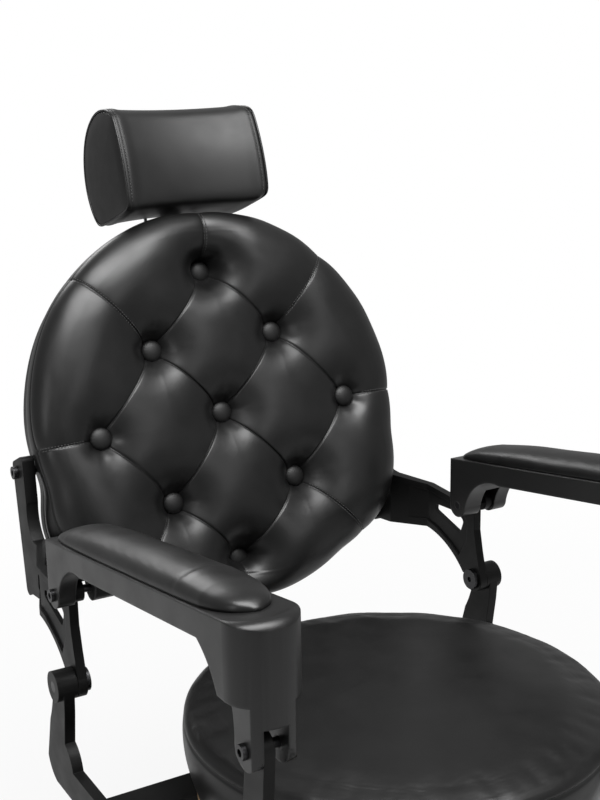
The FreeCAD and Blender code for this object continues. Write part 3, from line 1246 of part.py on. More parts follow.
def make_headrest():
    gap = "running_gap"
    guide = back_box("guide_block", "guide_width", "guide_depth", "guide_height",
                     "back_depth + board_thickness", "guide_low", "-guide_width / 2")
    slot = back_box("guide_slot", "stem_width + 2 * %s" % gap, "stem_thickness + 2 * %s" % gap,
                    "guide_height + 2 * overrun", "stem_back - stem_thickness / 2 - %s" % gap,
                    "guide_low - overrun", "-(stem_width / 2 + %s)" % gap)
    rods, bushes, bores, pits = [], [], [], []
    for side in (1, -1):
        across = "%d * rod_spread" % side
        rods.append(back_rod("guide_rod", "rod_radius", "stem_top - stem_bottom", "stem_back",
                             "stem_bottom", across))
        tube = back_rod("bush_tube", "bush_radius", "guide_height", "stem_back", "guide_low", across)
        bore = back_rod("bush_bore", "rod_radius + %s" % gap, "guide_height + 2 * overrun", "stem_back",
                        "guide_low - overrun", across)
        bushes.append(cut("guide_bush", tube, bore))
        bores.append(back_rod("guide_bore", "bush_radius", "guide_height + 2 * overrun", "stem_back",
                              "guide_low - overrun", across))
        pits.append(back_rod("rod_pit", "rod_radius + soft_gap", "stem_top - head_low + 2 * overrun",
                             "stem_back", "head_low - 2 * overrun", across))
    node(cut("headrest_guide", guide, slot, fuse("guide_bores", *bores)))
    node(group("guide_bushes", bushes))
    node(back_box("headrest_bar", "stem_width", "stem_thickness", "stem_top - stem_bottom",
                  "stem_back - stem_thickness / 2", "stem_bottom", "-stem_width / 2"))
    node(group("headrest_rods", rods))
    node(back_box("headrest_board", "head_board_width", "head_board_thickness", "head_board_height",
                  "stem_back - head_board_thickness / 2", "stem_top", "-head_board_width / 2"))
    cushion = shaped("headrest_form", headrest_form())
    back_place(cushion)
    pocket = back_box("board_pocket", "head_board_width + 2 * soft_gap",
                      "head_board_thickness + 2 * soft_gap", "head_board_height + 2 * soft_gap",
                      "stem_back - head_board_thickness / 2 - soft_gap", "stem_top - soft_gap",
                      "-(head_board_width / 2 + soft_gap)")
    channel = back_box("bar_channel", "stem_width + 2 * soft_gap", "stem_thickness + 2 * soft_gap",
                       "stem_top - head_low + 2 * overrun", "stem_back - stem_thickness / 2 - soft_gap",
                       "head_low - 2 * overrun", "-(stem_width / 2 + soft_gap)")
    node(cut("headrest_cushion", cushion, fuse("headrest_hollows", pocket, channel, *pits)))


HEAD_STATION_SHARES = [-1.0, -0.86, 0.0, 0.86, 1.0]


def headrest_form():
    """A loft through five end shapes: the face is hollow and the underside arched midway."""
    vector = FreeCAD.Vector
    wires = []
    for share in HEAD_STATION_SHARES:
        full_size = 1 if abs(share) < 1 else 0.94
        inward = 1 - share * share
        x = share * S["head_width"] / 2
        low = S["head_low"] + S["head_arch"] * inward
        high = S["head_low"] + S["head_height"] * 0.88
        middle = (low + high) / 2
        front = -S["head_ahead"] + S["head_wrap"] * inward
        rear = S["head_back"]
        points = {
            "low_front": (front + S["head_corner"], low + S["head_corner"] / 4),
            "face": (front, middle), "high_front": (front + S["head_corner"] * 1.1, high),
            "top": ((front + rear) / 2, S["head_low"] + S["head_height"]),
            "high_rear": (rear, high - S["head_arch"]),
            "bulge": (rear + S["head_bulge"], middle), "low_rear": (rear - S["head_corner"] / 4, low),
            "under": ((front + rear) / 2, low - S["head_corner"] / 4)}
        centre = ((front + rear) / 2, middle)
        spot = {name: vector(x, centre[0] + (y - centre[0]) * full_size,
                             centre[1] + (z - centre[1]) * full_size)
                for name, (y, z) in points.items()}
        wires.append(Part.Wire([
            Part.Arc(spot["low_front"], spot["face"], spot["high_front"]).toShape(),
            Part.Arc(spot["high_front"], spot["top"], spot["high_rear"]).toShape(),
            Part.Arc(spot["high_rear"], spot["bulge"], spot["low_rear"]).toShape(),
            Part.Arc(spot["low_rear"], spot["under"], spot["low_front"]).toShape()]))
    return Part.makeLoft(wires, True, False)


# Armrests

def arm_line(ahead, below="0"):
    """Height of the armrest's top at a distance ahead of the arm pivot, less a depth."""
    return "arm_pivot_height + arm_top + (%s + arm_tail) * tan(arm_rise * 1 deg) - (%s)" % (ahead, below)


def nose_rounding():
    """What is taken off the nose's top edge: all that lies outside a drum with a rounded rim."""
    depth, reach, past = S["nose_top"], S["nose_sweep"], S["overrun"]
    tip = -num("(arm_length + arm_tail) / cos(arm_rise * 1 deg)")
    vector = FreeCAD.Vector
    drum = Part.makeCylinder(reach, depth + S["nose_lift"], vector(0, tip + reach, -depth))
    rim = max(drum.Edges, key=lambda edge: edge.CenterOfMass.z)
    drum = drum.makeFillet(depth, [rim])
    around = Part.makeBox(2 * reach, reach + past, depth + past, vector(-reach, tip - past, -depth))
    return around.cut(drum)


def on_armrest(thing):
    """Put an object's origin on the rear end of the right armrest's top, sloped as the top is."""
    thing.Placement = FreeCAD.Placement(
        FreeCAD.Vector(num("arm_inner + arm_width / 2"), num("arm_pivot_back + arm_tail"),
                       num("arm_pivot_height + arm_top")),
        FreeCAD.Rotation(FreeCAD.Vector(-1, 0, 0), num("arm_rise")))
    return thing


def make_armrests():
    back = "arm_pivot_back"
    low = "arm_pivot_height"
    eye = "eye_radius"
    arch = "(arm_arch_radius * 1.5)"
    points = [
        ("%s + arm_tail" % back, low),
        ("%s + arm_tail" % back, "%s + arm_top" % low),
        ("%s - arm_length" % back, arm_line("arm_length")),
        ("%s - arm_length" % back, arm_line("arm_length", "nose_depth")),
        ("%s - %s" % (FRONT[0], eye), FRONT[1], "-(leg_sweep_radius)"),
        ("%s + %s" % (FRONT[0], eye), FRONT[1]),
        ("%s + 3.4 * %s" % (FRONT[0], eye),
         arm_line("front_reach - 3.4 * %s" % eye, "arm_beam"), "leg_sweep_radius"),
        ("%s - %s" % (back, arch), arm_line(arch, "arm_beam")),
        ("%s - fork_radius" % back, low, "arm_arch_radius * 1.15")]
    right = "arm_inner + arm_width"
    side = prism("arm_side", "X", points, "arm_inner", right)
    knuckle = rod("arm_knuckle", "fork_radius", "arm_width", "arm_inner", ARM[0], ARM[1], "X")
    front_eye = rod("arm_front_eye", "eye_radius", "arm_width", "arm_inner", FRONT[0], FRONT[1], "X")
    nose = rectangle("arm_inner", "%s - arm_length" % back, right, "%s + arm_tail" % back)
    plan = prism("arm_plan", "Z", nose, "%s - link_drop" % low, "%s + 2 * link_drop" % low,
                 rounds=[((0, 1), "nose_radius"), ((2, 3), "arm_edge")])
    square = common("arm_square", fuse("arm_whole", side, knuckle, front_eye), plan)
    solid = cut("arm_solid", square, on_armrest(shaped("arm_nose_rounding", nose_rounding())))
    slot_x = "side_plane + side_plate / 2 + side_gap - slot_width"
    rear_slot = block("arm_rear_slot", slot_x, "%s - slot_length" % back, "%s - 2 * fork_radius" % low,
                      "slot_width", "slot_length + arm_tail + overrun", "2 * fork_radius + slot_height")
    front_slot = block("arm_front_slot", slot_x, "%s - 2 * %s" % (FRONT[0], eye),
                       "%s - 2 * %s" % (FRONT[1], eye), "slot_width", "4 * %s" % eye,
                       "2 * %s + slot_height" % eye)
    cheek_low = "%s - 2 * %s" % (FRONT[1], eye)
    cheek_top = arm_line("arm_length", "3 * nose_depth")
    leg_left = "side_plane - leg_width / 2 - side_plate / 2"
    slabs = [
        block("arm_slab_inner", "arm_inner - overrun", "%s - arm_length - overrun" % back, cheek_low,
              "%s - arm_inner + overrun" % leg_left, "arm_length", "%s - (%s)" % (cheek_top, cheek_low)),
        block("arm_slab_outer", "%s + leg_width" % leg_left, "%s - arm_length - overrun" % back,
              cheek_low, "2 * leg_width", "arm_length - 2 * slot_length",
              "%s - (%s)" % (cheek_top, cheek_low))]
    slab_inner_short = block("arm_slab_inner_short", "arm_inner - overrun",
                             "%s - arm_length - overrun" % back, cheek_low,
                             "%s - arm_inner + overrun" % leg_left, "arm_length - 2 * slot_length",
                             "%s - (%s)" % (cheek_top, cheek_low))
    slabs[0] = slab_inner_short
    rear_bore = rod("arm_rear_bore", "arm_pin_radius + running_gap", "arm_width + 2 * overrun",
                    "arm_inner - overrun", ARM[0], ARM[1], "X")
    front_bore = rod("arm_front_bore", "arm_pin_radius + side_gap", "arm_width + 2 * overrun",
                     "arm_inner - overrun", FRONT[0], FRONT[1], "X")
    arm = cut("armrest", solid, rear_slot, front_slot, slabs[0], slabs[1], rear_bore, front_bore)
    pair("armrest", arm)
    pair("arm_pad", on_armrest(shaped("arm_pad", arm_pad_form())))


ARM_PAD_SHARES = [
    # Place along the pad, half width and crown, as shares of its length, half width and height
    (0.0, 0.24, 0.3), (0.02, 0.52, 0.52), (0.07, 0.78, 0.76), (0.18, 0.94, 0.94), (0.38, 1.0, 1.0),
    (0.68, 1.0, 1.0), (0.87, 0.97, 0.94), (0.955, 0.82, 0.76), (0.99, 0.52, 0.46), (1.0, 0.24, 0.2)]


def arm_pad_form():
    """A leaf-shaped pad: pointed behind, round in front, crowned across."""
    vector = FreeCAD.Vector
    wires = []
    for along, wide, high in ARM_PAD_SHARES:
        y = -(S["arm_pad_start"] + along * S["arm_pad_length"])
        half = wide * S["arm_pad_width"] / 2
        top = high * S["arm_pad_height"]
        left, right = vector(-half, y, 0), vector(half, y, 0)
        wires.append(Part.Wire([Part.Arc(left, vector(0, y, top), right).toShape(),
                                Part.makeLine(right, left)]))
    return Part.makeLoft(wires, True, False)


# Footrest

def make_footrest():
    eye = "eye_radius"
    y, z = FRONT_LOW
    foot_y = "%s - leg_reach" % y
    foot_z = "%s - leg_drop" % z
    points = [
        ("%s + 0.9 * %s" % (FRONT[0], eye), FRONT[1]),
        ("%s - 0.9 * %s" % (FRONT[0], eye), FRONT[1]),
        ("%s - %s" % (y, eye), z),
        ("%s - 1.6 * foot_tube_radius" % foot_y, "%s + foot_tube_radius" % foot_z, "leg_front_radius"),
        ("%s - 1.6 * foot_tube_radius" % foot_y, "%s - foot_tube_radius * 1.2" % foot_z),
        ("%s + 1.6 * foot_tube_radius" % foot_y, "%s - foot_tube_radius * 1.2" % foot_z),
        ("%s + %s" % (y, eye), "%s - %s" % (z, eye), "-(leg_back_radius)"),
        ("%s + %s" % (y, eye), z)]
    left = "side_plane - side_plate / 2"
    right = "side_plane + side_plate / 2"
    plate = prism("leg_plate", "X", points, left, right)
    ends = [rod("leg_top_eye", "0.9 * eye_radius", "side_plate", left, FRONT[0], FRONT[1], "X"),
            rod("leg_pivot_eye", "eye_radius", "side_plate", left, y, z, "X")]
    bores = fuse("leg_bores",
                 rod("leg_top_bore", "arm_pin_radius", "2 * side_plate", "%s - side_plate / 2" % left,
                     FRONT[0], FRONT[1], "X"),
                 rod("leg_low_bore", "pivot_pin_radius + bush_wall", "2 * side_plate",
                     "%s - side_plate / 2" % left, y, z, "X"),
                 rod("leg_foot_bore", "bolt_radius", "2 * side_plate", "%s - side_plate / 2" % left,
                     foot_y, foot_z, "X"))
    pair("footrest_leg", cut("footrest_leg", fuse("leg_whole", plate, *ends), bores))
    pins, bolts = [], []
    for side in (1, -1):
        outer = "side_plane - side_plate / 2 + leg_width / 2"
        pins.append(bolt("front_pin", "arm_pin_radius", "leg_width + side_gap", "arm_bolt_head",
                         "arm_bolt_head_height", "%d * (%s + side_gap)" % (side, outer),
                         FRONT[0], FRONT[1], (0, 1, 0), -90 * side))
        bolts.append(bolt("foot_bolt", "bolt_radius", "side_plate + end_block", "bolt_head",
                          "bolt_head_height", "%d * (%s)" % (side, right), foot_y, foot_z,
                          (0, 1, 0), -90 * side))
    node(group("front_hinge_bolts", pins))
    node(group("footrest_bolts", bolts))
    tube = rod("foot_tube_outer", "foot_tube_radius", "2 * (%s)" % left, "-(%s)" % left,
               foot_y, foot_z, "X")
    inside = rod("foot_tube_inner", "foot_tube_radius - foot_tube_wall",
                 "2 * (%s - end_block)" % left, "-(%s - end_block)" % left, foot_y, foot_z, "X")
    tapped = [rod("foot_thread_%d" % side, "bolt_radius", "end_block",
                  "%s - end_block" % left if side > 0 else "-(%s)" % left, foot_y, foot_z, "X")
              for side in (1, -1)]
    node(cut("footrest_tube", tube, inside, *tapped))
    make_step(foot_y, foot_z)


def make_step(foot_y, foot_z):
    rear = "%s + foot_tube_radius" % foot_y
    low = "%s + foot_tube_radius" % foot_z
    half = "step_width / 2"
    front = "%s - step_depth" % rear
    corners = rectangle("-(%s)" % half, front, half, rear)
    plate = prism("step_flat", "Z", corners, low, "%s + step_thickness" % low,
                  rounds=[((0, 1), "step_corner"), ((2, 3), "step_corner / 4")])
    under = "%s - step_lip" % low
    lip = prism("step_lip_block", "Z", corners, under, low,
                rounds=[((0, 1), "step_corner"), ((2, 3), "step_corner / 4")])
    inner = prism("step_lip_inside", "Z",
                  rectangle("-(%s - step_thickness)" % half, "%s + step_thickness" % front,
                            "%s - step_thickness" % half, "%s + overrun" % rear),
                  "%s - overrun" % under, low,
                  rounds=[((0, 1), "step_corner - step_thickness")])
    clear = rod("step_tube_clear", "foot_tube_radius", "2 * step_width", "-step_width", foot_y,
                foot_z, "X")
    node(cut("step_plate", fuse("step_whole", plate, cut("step_rim", lip, inner)), clear))
    top = "%s + step_thickness" % low
    mat = prism("tread_mat", "Z",
                rectangle("-(%s - tread_margin)" % half, "%s + tread_margin" % front,
                          "%s - tread_margin" % half, "%s - tread_margin" % rear),
                top, "%s + tread_thickness" % top,
                rounds=[((0, 1), "step_corner - tread_margin / 2"), ((2, 3), "step_corner / 4")])
    count = COUNTS["tread_grooves"]
    grooves = []
    for number in range(count):
        place_share = (number + 1) / (count + 1)
        along = "%s + tread_margin + %.6f * (step_depth - 2 * tread_margin)" % (front, place_share)
        grooves.append(block("tread_groove", "-(%s - 2 * tread_margin)" % half,
                             "%s - tread_groove / 2" % along,
                             "%s + tread_thickness - tread_groove_depth" % top,
                             "2 * (%s - 2 * tread_margin)" % half, "tread_groove", "overrun"))
    node(cut("step_tread", mat, fuse("tread_grooves", *grooves)))


# Release lever

def make_release_lever():
    face = "frame_plane + frame_plate / 2"
    y, z = "lever_back", "rail_bottom + rail_height / 2"
    near = "%s + side_gap" % face
    start = "%s + grip_radius - lever_thickness / 2" % near
    arm = block("lever_bar", start, "%s - lever_length" % y, "%s - lever_width / 2" % z,
                "lever_thickness", "lever_length", "lever_width")
    boss = rod("lever_boss_disc", "lever_boss", "grip_radius + lever_thickness / 2", near, y, z, "X")
    bore = rod("lever_bore", "lever_stud_radius + running_gap", "2 * (grip_radius + lever_thickness)",
               "%s - overrun" % near, y, z, "X")
    lever = node(cut("release_lever", fuse("lever_whole", arm, boss), bore))
    grip = rod("grip_whole", "grip_radius", "grip_length", "%s + lever_thickness / 2" % start,
               "%s - lever_length - grip_radius" % y, z, "Y")
    node(cut("lever_grip", grip, lever))


make_base()
make_pump_block()
make_pedal()
make_column()
make_cross_tubes()
make_side_frames()
make_seat()
make_back()
make_brackets()
make_cross_bar()
make_recline_spring()
make_headrest()
make_armrests()
make_footrest()
make_release_lever()

doc.recompute()


def check_and_write():
    """Stop on any failed object or bad shape, then write each piece."""
    failed = [o.Label for o in doc.Objects if {"Invalid", "Error"} & set(o.State)]
    if failed:
        raise SystemExit("failed objects: " + ", ".join(failed))
    bad = [o.Label for o in NODES if o.Shape.isNull() or not o.Shape.isValid() or not o.Shape.Solids]
    if bad:
        raise SystemExit("bad shapes: " + ", ".join(bad))
    os.makedirs("parts", exist_ok=True)
    for piece in NODES:
        piece.Shape.exportStep("parts/%s.step" % piece.Label)
        box = piece.Shape.BoundBox
        print("%-20s solids %2d volume %10.0f  x %.1f..%.1f y %.1f..%.1f z %.1f..%.1f" % (
            piece.Label, len(piece.Shape.Solids), piece.Shape.Volume, box.XMin, box.XMax, box.YMin,
            box.YMax, box.ZMin, box.ZMax))
    print("%d nodes" % len(NODES))


check_and_write()
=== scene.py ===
# %% [markdown]
# # A threading chair, dressed in Blender
# The chair has a round, deeply buttoned back, a round seat, padded armrests and a small headrest, all in
# black leatherette over satin black castings. The metal parts come ready-made from the CAD model.
# This lesson adds the soft parts, the finishes, the light and the camera. The first cell loads the
# model.

import json
import math

import bmesh
import bpy
import numpy as np
from mathutils import Matrix, Vector
from mathutils.kdtree import KDTree


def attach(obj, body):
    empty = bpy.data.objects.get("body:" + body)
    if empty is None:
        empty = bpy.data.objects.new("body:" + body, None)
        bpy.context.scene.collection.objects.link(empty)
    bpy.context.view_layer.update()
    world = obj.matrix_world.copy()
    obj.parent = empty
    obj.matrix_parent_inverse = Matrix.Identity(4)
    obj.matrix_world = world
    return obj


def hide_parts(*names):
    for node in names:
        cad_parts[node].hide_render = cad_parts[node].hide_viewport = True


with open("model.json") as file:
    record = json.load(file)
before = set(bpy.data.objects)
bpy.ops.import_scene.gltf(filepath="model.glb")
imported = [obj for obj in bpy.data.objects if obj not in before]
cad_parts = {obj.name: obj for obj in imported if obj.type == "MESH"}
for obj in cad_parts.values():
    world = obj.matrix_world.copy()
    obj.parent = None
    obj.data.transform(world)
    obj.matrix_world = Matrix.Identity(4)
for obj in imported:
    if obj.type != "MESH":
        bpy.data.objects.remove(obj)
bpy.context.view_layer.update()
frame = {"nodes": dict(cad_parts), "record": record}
slot_of = {part["node"]: part["material_slot"] for part in frame["record"]["subparts"]}
MM = 0.001
print("metal and soft nodes loaded:", len(frame["nodes"]))

# %% [markdown]
# ## The reclined back's own space
# The back leans, so everything sewn to it is easier to draw in a flat space of its own: across, up along
# the back, and off it towards the rear. One function turns those three numbers into a place on the chair.
# The armrests rise towards the front, so they get a space of the same kind.

# %% Spaces for the back and the armrests
RECLINE = math.radians(16.4)
BACK_MIDDLE = np.array([0.0, 448.0, 790.0])
ARM_SLOPE = math.radians(8.3)
ARM_REAR = np.array([306.5, 253.0, 727.0])


def on_back(across, up, off):
    """Places on the chair, in metres, from millimetres in the back's own space."""
    across, up, off = np.broadcast_arrays(across, up, off)
    y = BACK_MIDDLE[1] + off * math.cos(RECLINE) + up * math.sin(RECLINE)
    z = BACK_MIDDLE[2] - off * math.sin(RECLINE) + up * math.cos(RECLINE)
    return np.stack([across, y, z], -1) * MM


def on_arm(across, ahead, up, side):
    """Places on an armrest's sloping top: ahead of its rear face, and up from the casting."""
    across, ahead, up = np.broadcast_arrays(across, ahead, up)
    x = side * (ARM_REAR[0] + across)
    y = ARM_REAR[1] - ahead * math.cos(ARM_SLOPE) + up * math.sin(ARM_SLOPE)
    z = ARM_REAR[2] + ahead * math.sin(ARM_SLOPE) + up * math.cos(ARM_SLOPE)
    return np.stack([x, y, z], -1) * MM


# %% [markdown]
# ## Skins and threads
# Upholstery is a skin stretched over foam. Each soft piece here is a grid of points wrapped round its
# form, so that a seam can be pressed into it exactly where the sewing machine ran. A modelling tool
# could push the same shapes by hand, but a formula keeps both armrests alike and the buttons in line.

# %% A skin from rows of points
WELD_MM = 0.02


def new_piece(name, mesh):
    """Put a mesh into the scene as an object of that name."""
    piece = bpy.data.objects.new(name, mesh)
    bpy.context.collection.objects.link(piece)
    return piece


def skin(name, grid, close_rows=False):
    """A smooth mesh from rings of points. Points that fall together at a pole are joined."""
    rows, columns = grid.shape[:2]
    i = np.arange(rows if close_rows else rows - 1)[:, None]
    j = np.arange(columns)[None, :]
    below, right = (i + 1) % rows, (j + 1) % columns
    corners = np.broadcast_arrays(i * columns + j, i * columns + right, below * columns + right,
                                  below * columns + j)
    quads = np.stack(corners, -1).reshape(-1, 4)
    mesh = bpy.data.meshes.new(name)
    mesh.from_pydata(grid.reshape(-1, 3).tolist(), [], quads.tolist())
    work = bmesh.new()
    work.from_mesh(mesh)
    bmesh.ops.remove_doubles(work, verts=work.verts, dist=WELD_MM * MM)
    bmesh.ops.recalc_face_normals(work, faces=work.faces)
    work.to_mesh(mesh)
    work.free()
    mesh.shade_smooth()
    return new_piece(name, mesh)


# %% [markdown]
# A row of stitches is a row of short, round-ended lengths of thread, each half sunk in the leather.
# Curves with a bevel would work too, but one mesh of small spindles is lighter and always points along
# the seam.

# %% A row of stitches
def spindle(sides=6):
    """One stitch of unit length along X: rings of points and the faces between them."""
    rings = [(-0.5, 0.25), (-0.4, 0.8), (0.0, 1.0), (0.4, 0.8), (0.5, 0.25)]  # place along, width
    turn = np.arange(sides) * 2 * math.pi / sides
    points = [(along, wide * math.cos(a), wide * math.sin(a)) for along, wide in rings for a in turn]
    faces = []
    for ring in range(len(rings) - 1):
        for k in range(sides):
            near, far = ring * sides + k, ring * sides + (k + 1) % sides
            faces.append((near, far, far + sides, near + sides))
    faces.append(tuple(range(sides))[::-1])
    faces.append(tuple(range((len(rings) - 1) * sides, len(rings) * sides)))
    return np.array(points), faces


def along_line(distance, run, values):
    """The line's three values at a distance from its start."""
    return np.array([np.interp(distance, run, values[:, axis]) for axis in range(3)])


def stitches(name, lines, length=3.1, gap=1.5, radius=0.42, lift=0.1):
    """Thread along lines. A line is its points and the leather's outward directions, both in metres."""
    template, template_faces = spindle()
    verts, faces = [], []
    pitch = (length + gap) * MM
    for points, outward in lines:
        steps = np.linalg.norm(np.diff(points, axis=0), axis=1)
        run = np.concatenate([[0], np.cumsum(steps)])
        for centre in np.arange(pitch, run[-1] - pitch * 0.5, pitch):
            ends = [along_line(centre + s * length * MM / 2, run, points) for s in (-1, 1)]
            out = along_line(centre, run, outward)
            along = ends[1] - ends[0]
            size = np.linalg.norm(along)
            along /= max(size, 1e-9)
            out -= along * (out @ along)
            out /= max(np.linalg.norm(out), 1e-9)
            side = np.cross(along, out)
            middle = (ends[0] + ends[1]) / 2 + out * lift * MM
            start = len(verts)
            shape = (middle + template[:, :1] * along * size + template[:, 1:2] * side * radius * MM
                     + template[:, 2:] * out * radius * MM)
            verts.extend(shape.tolist())
            faces.extend([tuple(start + k for k in face) for face in template_faces])
    mesh = bpy.data.meshes.new(name)
    mesh.from_pydata(verts, [], faces)
    mesh.shade_smooth()
    return new_piece(name, mesh)


# %% [markdown]
# Piping is a thin cord of leather sewn into a seam. It is a tube that follows a closed line.

# %% A tube along a closed line
def piping(name, line, radius, sides=10):
    """A tube of leather round a closed line of points, in metres."""
    ahead = np.roll(line, -1, 0) - np.roll(line, 1, 0)
    ahead /= np.linalg.norm(ahead, axis=1)[:, None]
    middle = line.mean(0)
    out = line - middle
    out -= ahead * (out * ahead).sum(1)[:, None]
    out /= np.linalg.norm(out, axis=1)[:, None]
    side = np.cross(ahead, out)
    turn = np.arange(sides) * 2 * math.pi / sides
    ring = (line[:, None] + radius * MM * (np.cos(turn)[None, :, None] * out[:, None]
                                           + np.sin(turn)[None, :, None] * side[:, None]))
    return skin(name, ring, close_rows=True)


# %% [markdown]
# Foam pushes its leather outward, and the leather gives until its seams and buttons hold it. Blender's
# cloth pass finds that shape: a coarse copy of the skin is blown up a little with air pressure for twenty
# frames while the points near seams are pinned. Only its movement is kept, as a soft field of small
# shifts, so the fine skin can follow it and still carry crisp seams that are drawn afterwards.

# %% Let the leather give
CLOTH_FRAMES = 20
NEIGHBOURS = 5


def tree_of(places):
    """A search tree that finds the nearest of some places."""
    tree = KDTree(len(places))
    for number, place in enumerate(places):
        tree.insert(place, number)
    tree.balance()
    return tree


def field_of(places, shifts, reach):
    """A function that gives the shift at any points, from the nearest places of a coarse mesh."""
    tree = tree_of(places)

    def give(points):
        flat = points.reshape(-1, 3)
        moved = np.zeros(flat.shape)
        for number, point in enumerate(flat):
            found = tree.find_n(point, NEIGHBOURS)
            weights = np.array([1.0 / (gap + reach) ** 2 for _, _, gap in found])
            moved[number] = weights @ shifts[[index for _, index, _ in found]] / weights.sum()
        return moved.reshape(points.shape)

    return give


def cloth_give(name, grid, held, hold_mm, cap_mm, pressure=4.0, voxel_mm=9.0):
    """Blow up a coarse copy of a skin, held near some places, and return its field of shifts."""
    coarse = skin(name, grid)
    remesh = coarse.modifiers.new("even mesh", "REMESH")
    remesh.mode = "VOXEL"
    remesh.voxel_size = voxel_mm * MM
    even = bpy.data.meshes.new_from_object(coarse.evaluated_get(bpy.context.evaluated_depsgraph_get()))
    coarse.modifiers.clear()
    coarse.data = even
    places = np.array([tuple(vertex.co) for vertex in even.vertices])
    nearest = tree_of(held)
    pins = coarse.vertex_groups.new(name="held")
    for number, place in enumerate(places):
        gap = nearest.find(place)[2] / MM
        pins.add([number], float(np.clip(1.6 - gap / hold_mm, 0, 1)), "REPLACE")
    cloth = coarse.modifiers.new("cloth", "CLOTH")
    cloth.settings.quality = 5
    cloth.settings.mass = 0.4
    cloth.settings.tension_stiffness = 18
    cloth.settings.compression_stiffness = 12
    cloth.settings.bending_stiffness = 1.5
    cloth.settings.use_pressure = True
    cloth.settings.uniform_pressure_force = pressure
    cloth.settings.effector_weights.gravity = 0
    cloth.settings.vertex_group_mass = "held"
    scene = bpy.context.scene
    for number in range(1, CLOTH_FRAMES + 1):
        scene.frame_set(number)
    blown = coarse.evaluated_get(bpy.context.evaluated_depsgraph_get()).to_mesh()
    shifts = np.array([tuple(vertex.co) for vertex in blown.vertices]) - places
    bpy.data.objects.remove(coarse)
    scene.frame_set(1)
    size = np.linalg.norm(shifts, axis=1)[:, None] / MM
    shifts *= np.minimum(1, cap_mm / np.maximum(size, 1e-6))
    largest = min(float(size.max()), cap_mm)
    print(name, "cloth points:", len(places), "largest shift, mm:", round(largest, 1))
    return field_of(places, shifts, voxel_mm * MM * 0.4)


# %% [markdown]
# ## Finishes
# Everything on this chair is black, so the materials are told apart by their gloss and their grain alone.
# Each one is a Principled shader. Fine noise drives the bump, slow noise varies the roughness, and both
# are measured in the object's own metres, so that the grain has its real size on every piece.

# %% Helpers for node materials
def new_finish(name, colour, roughness, metallic=0.0):
    """A material with its plain numbers on the shader's own sockets."""
    material = bpy.data.materials.new(name)
    material.use_nodes = True
    tree = material.node_tree
    shader = tree.nodes["Principled BSDF"]
    shader.inputs["Base Color"].default_value = (*colour, 1)
    shader.inputs["Roughness"].default_value = roughness
    shader.inputs["Metallic"].default_value = metallic
    place = tree.nodes.new("ShaderNodeTexCoord").outputs["Object"]
    return material, tree, shader, place


def noise(tree, place, scale, detail=3.0, roughness=0.5):
    """Cloudy noise: a larger scale is a finer grain."""
    node = tree.nodes.new("ShaderNodeTexNoise")
    node.inputs["Scale"].default_value = scale
    node.inputs["Detail"].default_value = detail
    node.inputs["Roughness"].default_value = roughness
    tree.links.new(place, node.inputs["Vector"])
    return node.outputs["Fac"]


def cells(tree, place, scale):
    """Rounded cells, like the pebbles of leather."""
    node = tree.nodes.new("ShaderNodeTexVoronoi")
    node.inputs["Scale"].default_value = scale
    tree.links.new(place, node.inputs["Vector"])
    return node.outputs["Distance"]


def spread(tree, value, low, high, first=0.3, last=0.7):
    """Stretch a texture's middle values over a range."""
    node = tree.nodes.new("ShaderNodeMapRange")
    for socket, number in (("From Min", first), ("From Max", last), ("To Min", low), ("To Max", high)):
        node.inputs[socket].default_value = number
    tree.links.new(value, node.inputs["Value"])
    return node.outputs["Result"]


def two_colours(tree, factor, first, second):
    """Blend from one colour to another by a factor."""
    node = tree.nodes.new("ShaderNodeMix")
    node.data_type = "RGBA"
    node.inputs["A"].default_value = (*first, 1)
    node.inputs["B"].default_value = (*second, 1)
    tree.links.new(factor, node.inputs["Factor"])
    return node.outputs["Result"]


def bump(tree, height, depth_mm, strength=1.0, under=None):
    """Small relief from a texture, on top of the relief under it."""
    node = tree.nodes.new("ShaderNodeBump")
    node.inputs["Distance"].default_value = depth_mm * MM
    node.inputs["Strength"].default_value = strength
    tree.links.new(height, node.inputs["Height"])
    if under is not None:
        tree.links.new(under, node.inputs["Normal"])
    return node.outputs["Normal"]


def uneven_gloss(tree, shader, place, scale, detail, low, high):
    """Roughness that wanders slowly between two values, as handled surfaces do."""
    tree.links.new(spread(tree, noise(tree, place, scale, detail), low, high), shader.inputs["Roughness"])


def soft_edges(tree, radius_mm):
    """Edges of a casting are never knife-sharp, and the Bevel node rounds how they catch the light."""
    node = tree.nodes.new("ShaderNodeBevel")
    node.samples = 4
    node.inputs["Radius"].default_value = radius_mm * MM
    return node.outputs["Normal"]


# %% [markdown]
# The leatherette is a vinyl cloth with a fine pebbled grain. Its gloss is what the eye reads: soft, wide
# highlights with a slightly uneven edge, duller where hands and hair have rubbed it.

# %% Leatherette
def leatherette(name, shade=0.0042, gloss=0.35, grain=0.05):
    """Vinyl leather: pebbles and fine creases over slow, faint blotches."""
    material, tree, shader, place = new_finish(name, (shade, shade, shade * 1.04), gloss)
    shader.inputs["Specular IOR Level"].default_value = 0.42
    blotches = noise(tree, place, 14, 4)
    colour = two_colours(tree, spread(tree, blotches, 0, 1), (shade * 0.8,) * 3, (shade * 1.3,) * 3)
    tree.links.new(colour, shader.inputs["Base Color"])
    uneven_gloss(tree, shader, place, 26, 5, gloss - 0.03, gloss + 0.07)
    pebbles = bump(tree, cells(tree, place, 900), grain, 0.55)
    creases = bump(tree, noise(tree, place, 190, 6, 0.6), grain * 2.2, 0.5, pebbles)
    tree.links.new(creases, shader.inputs["Normal"])
    return material
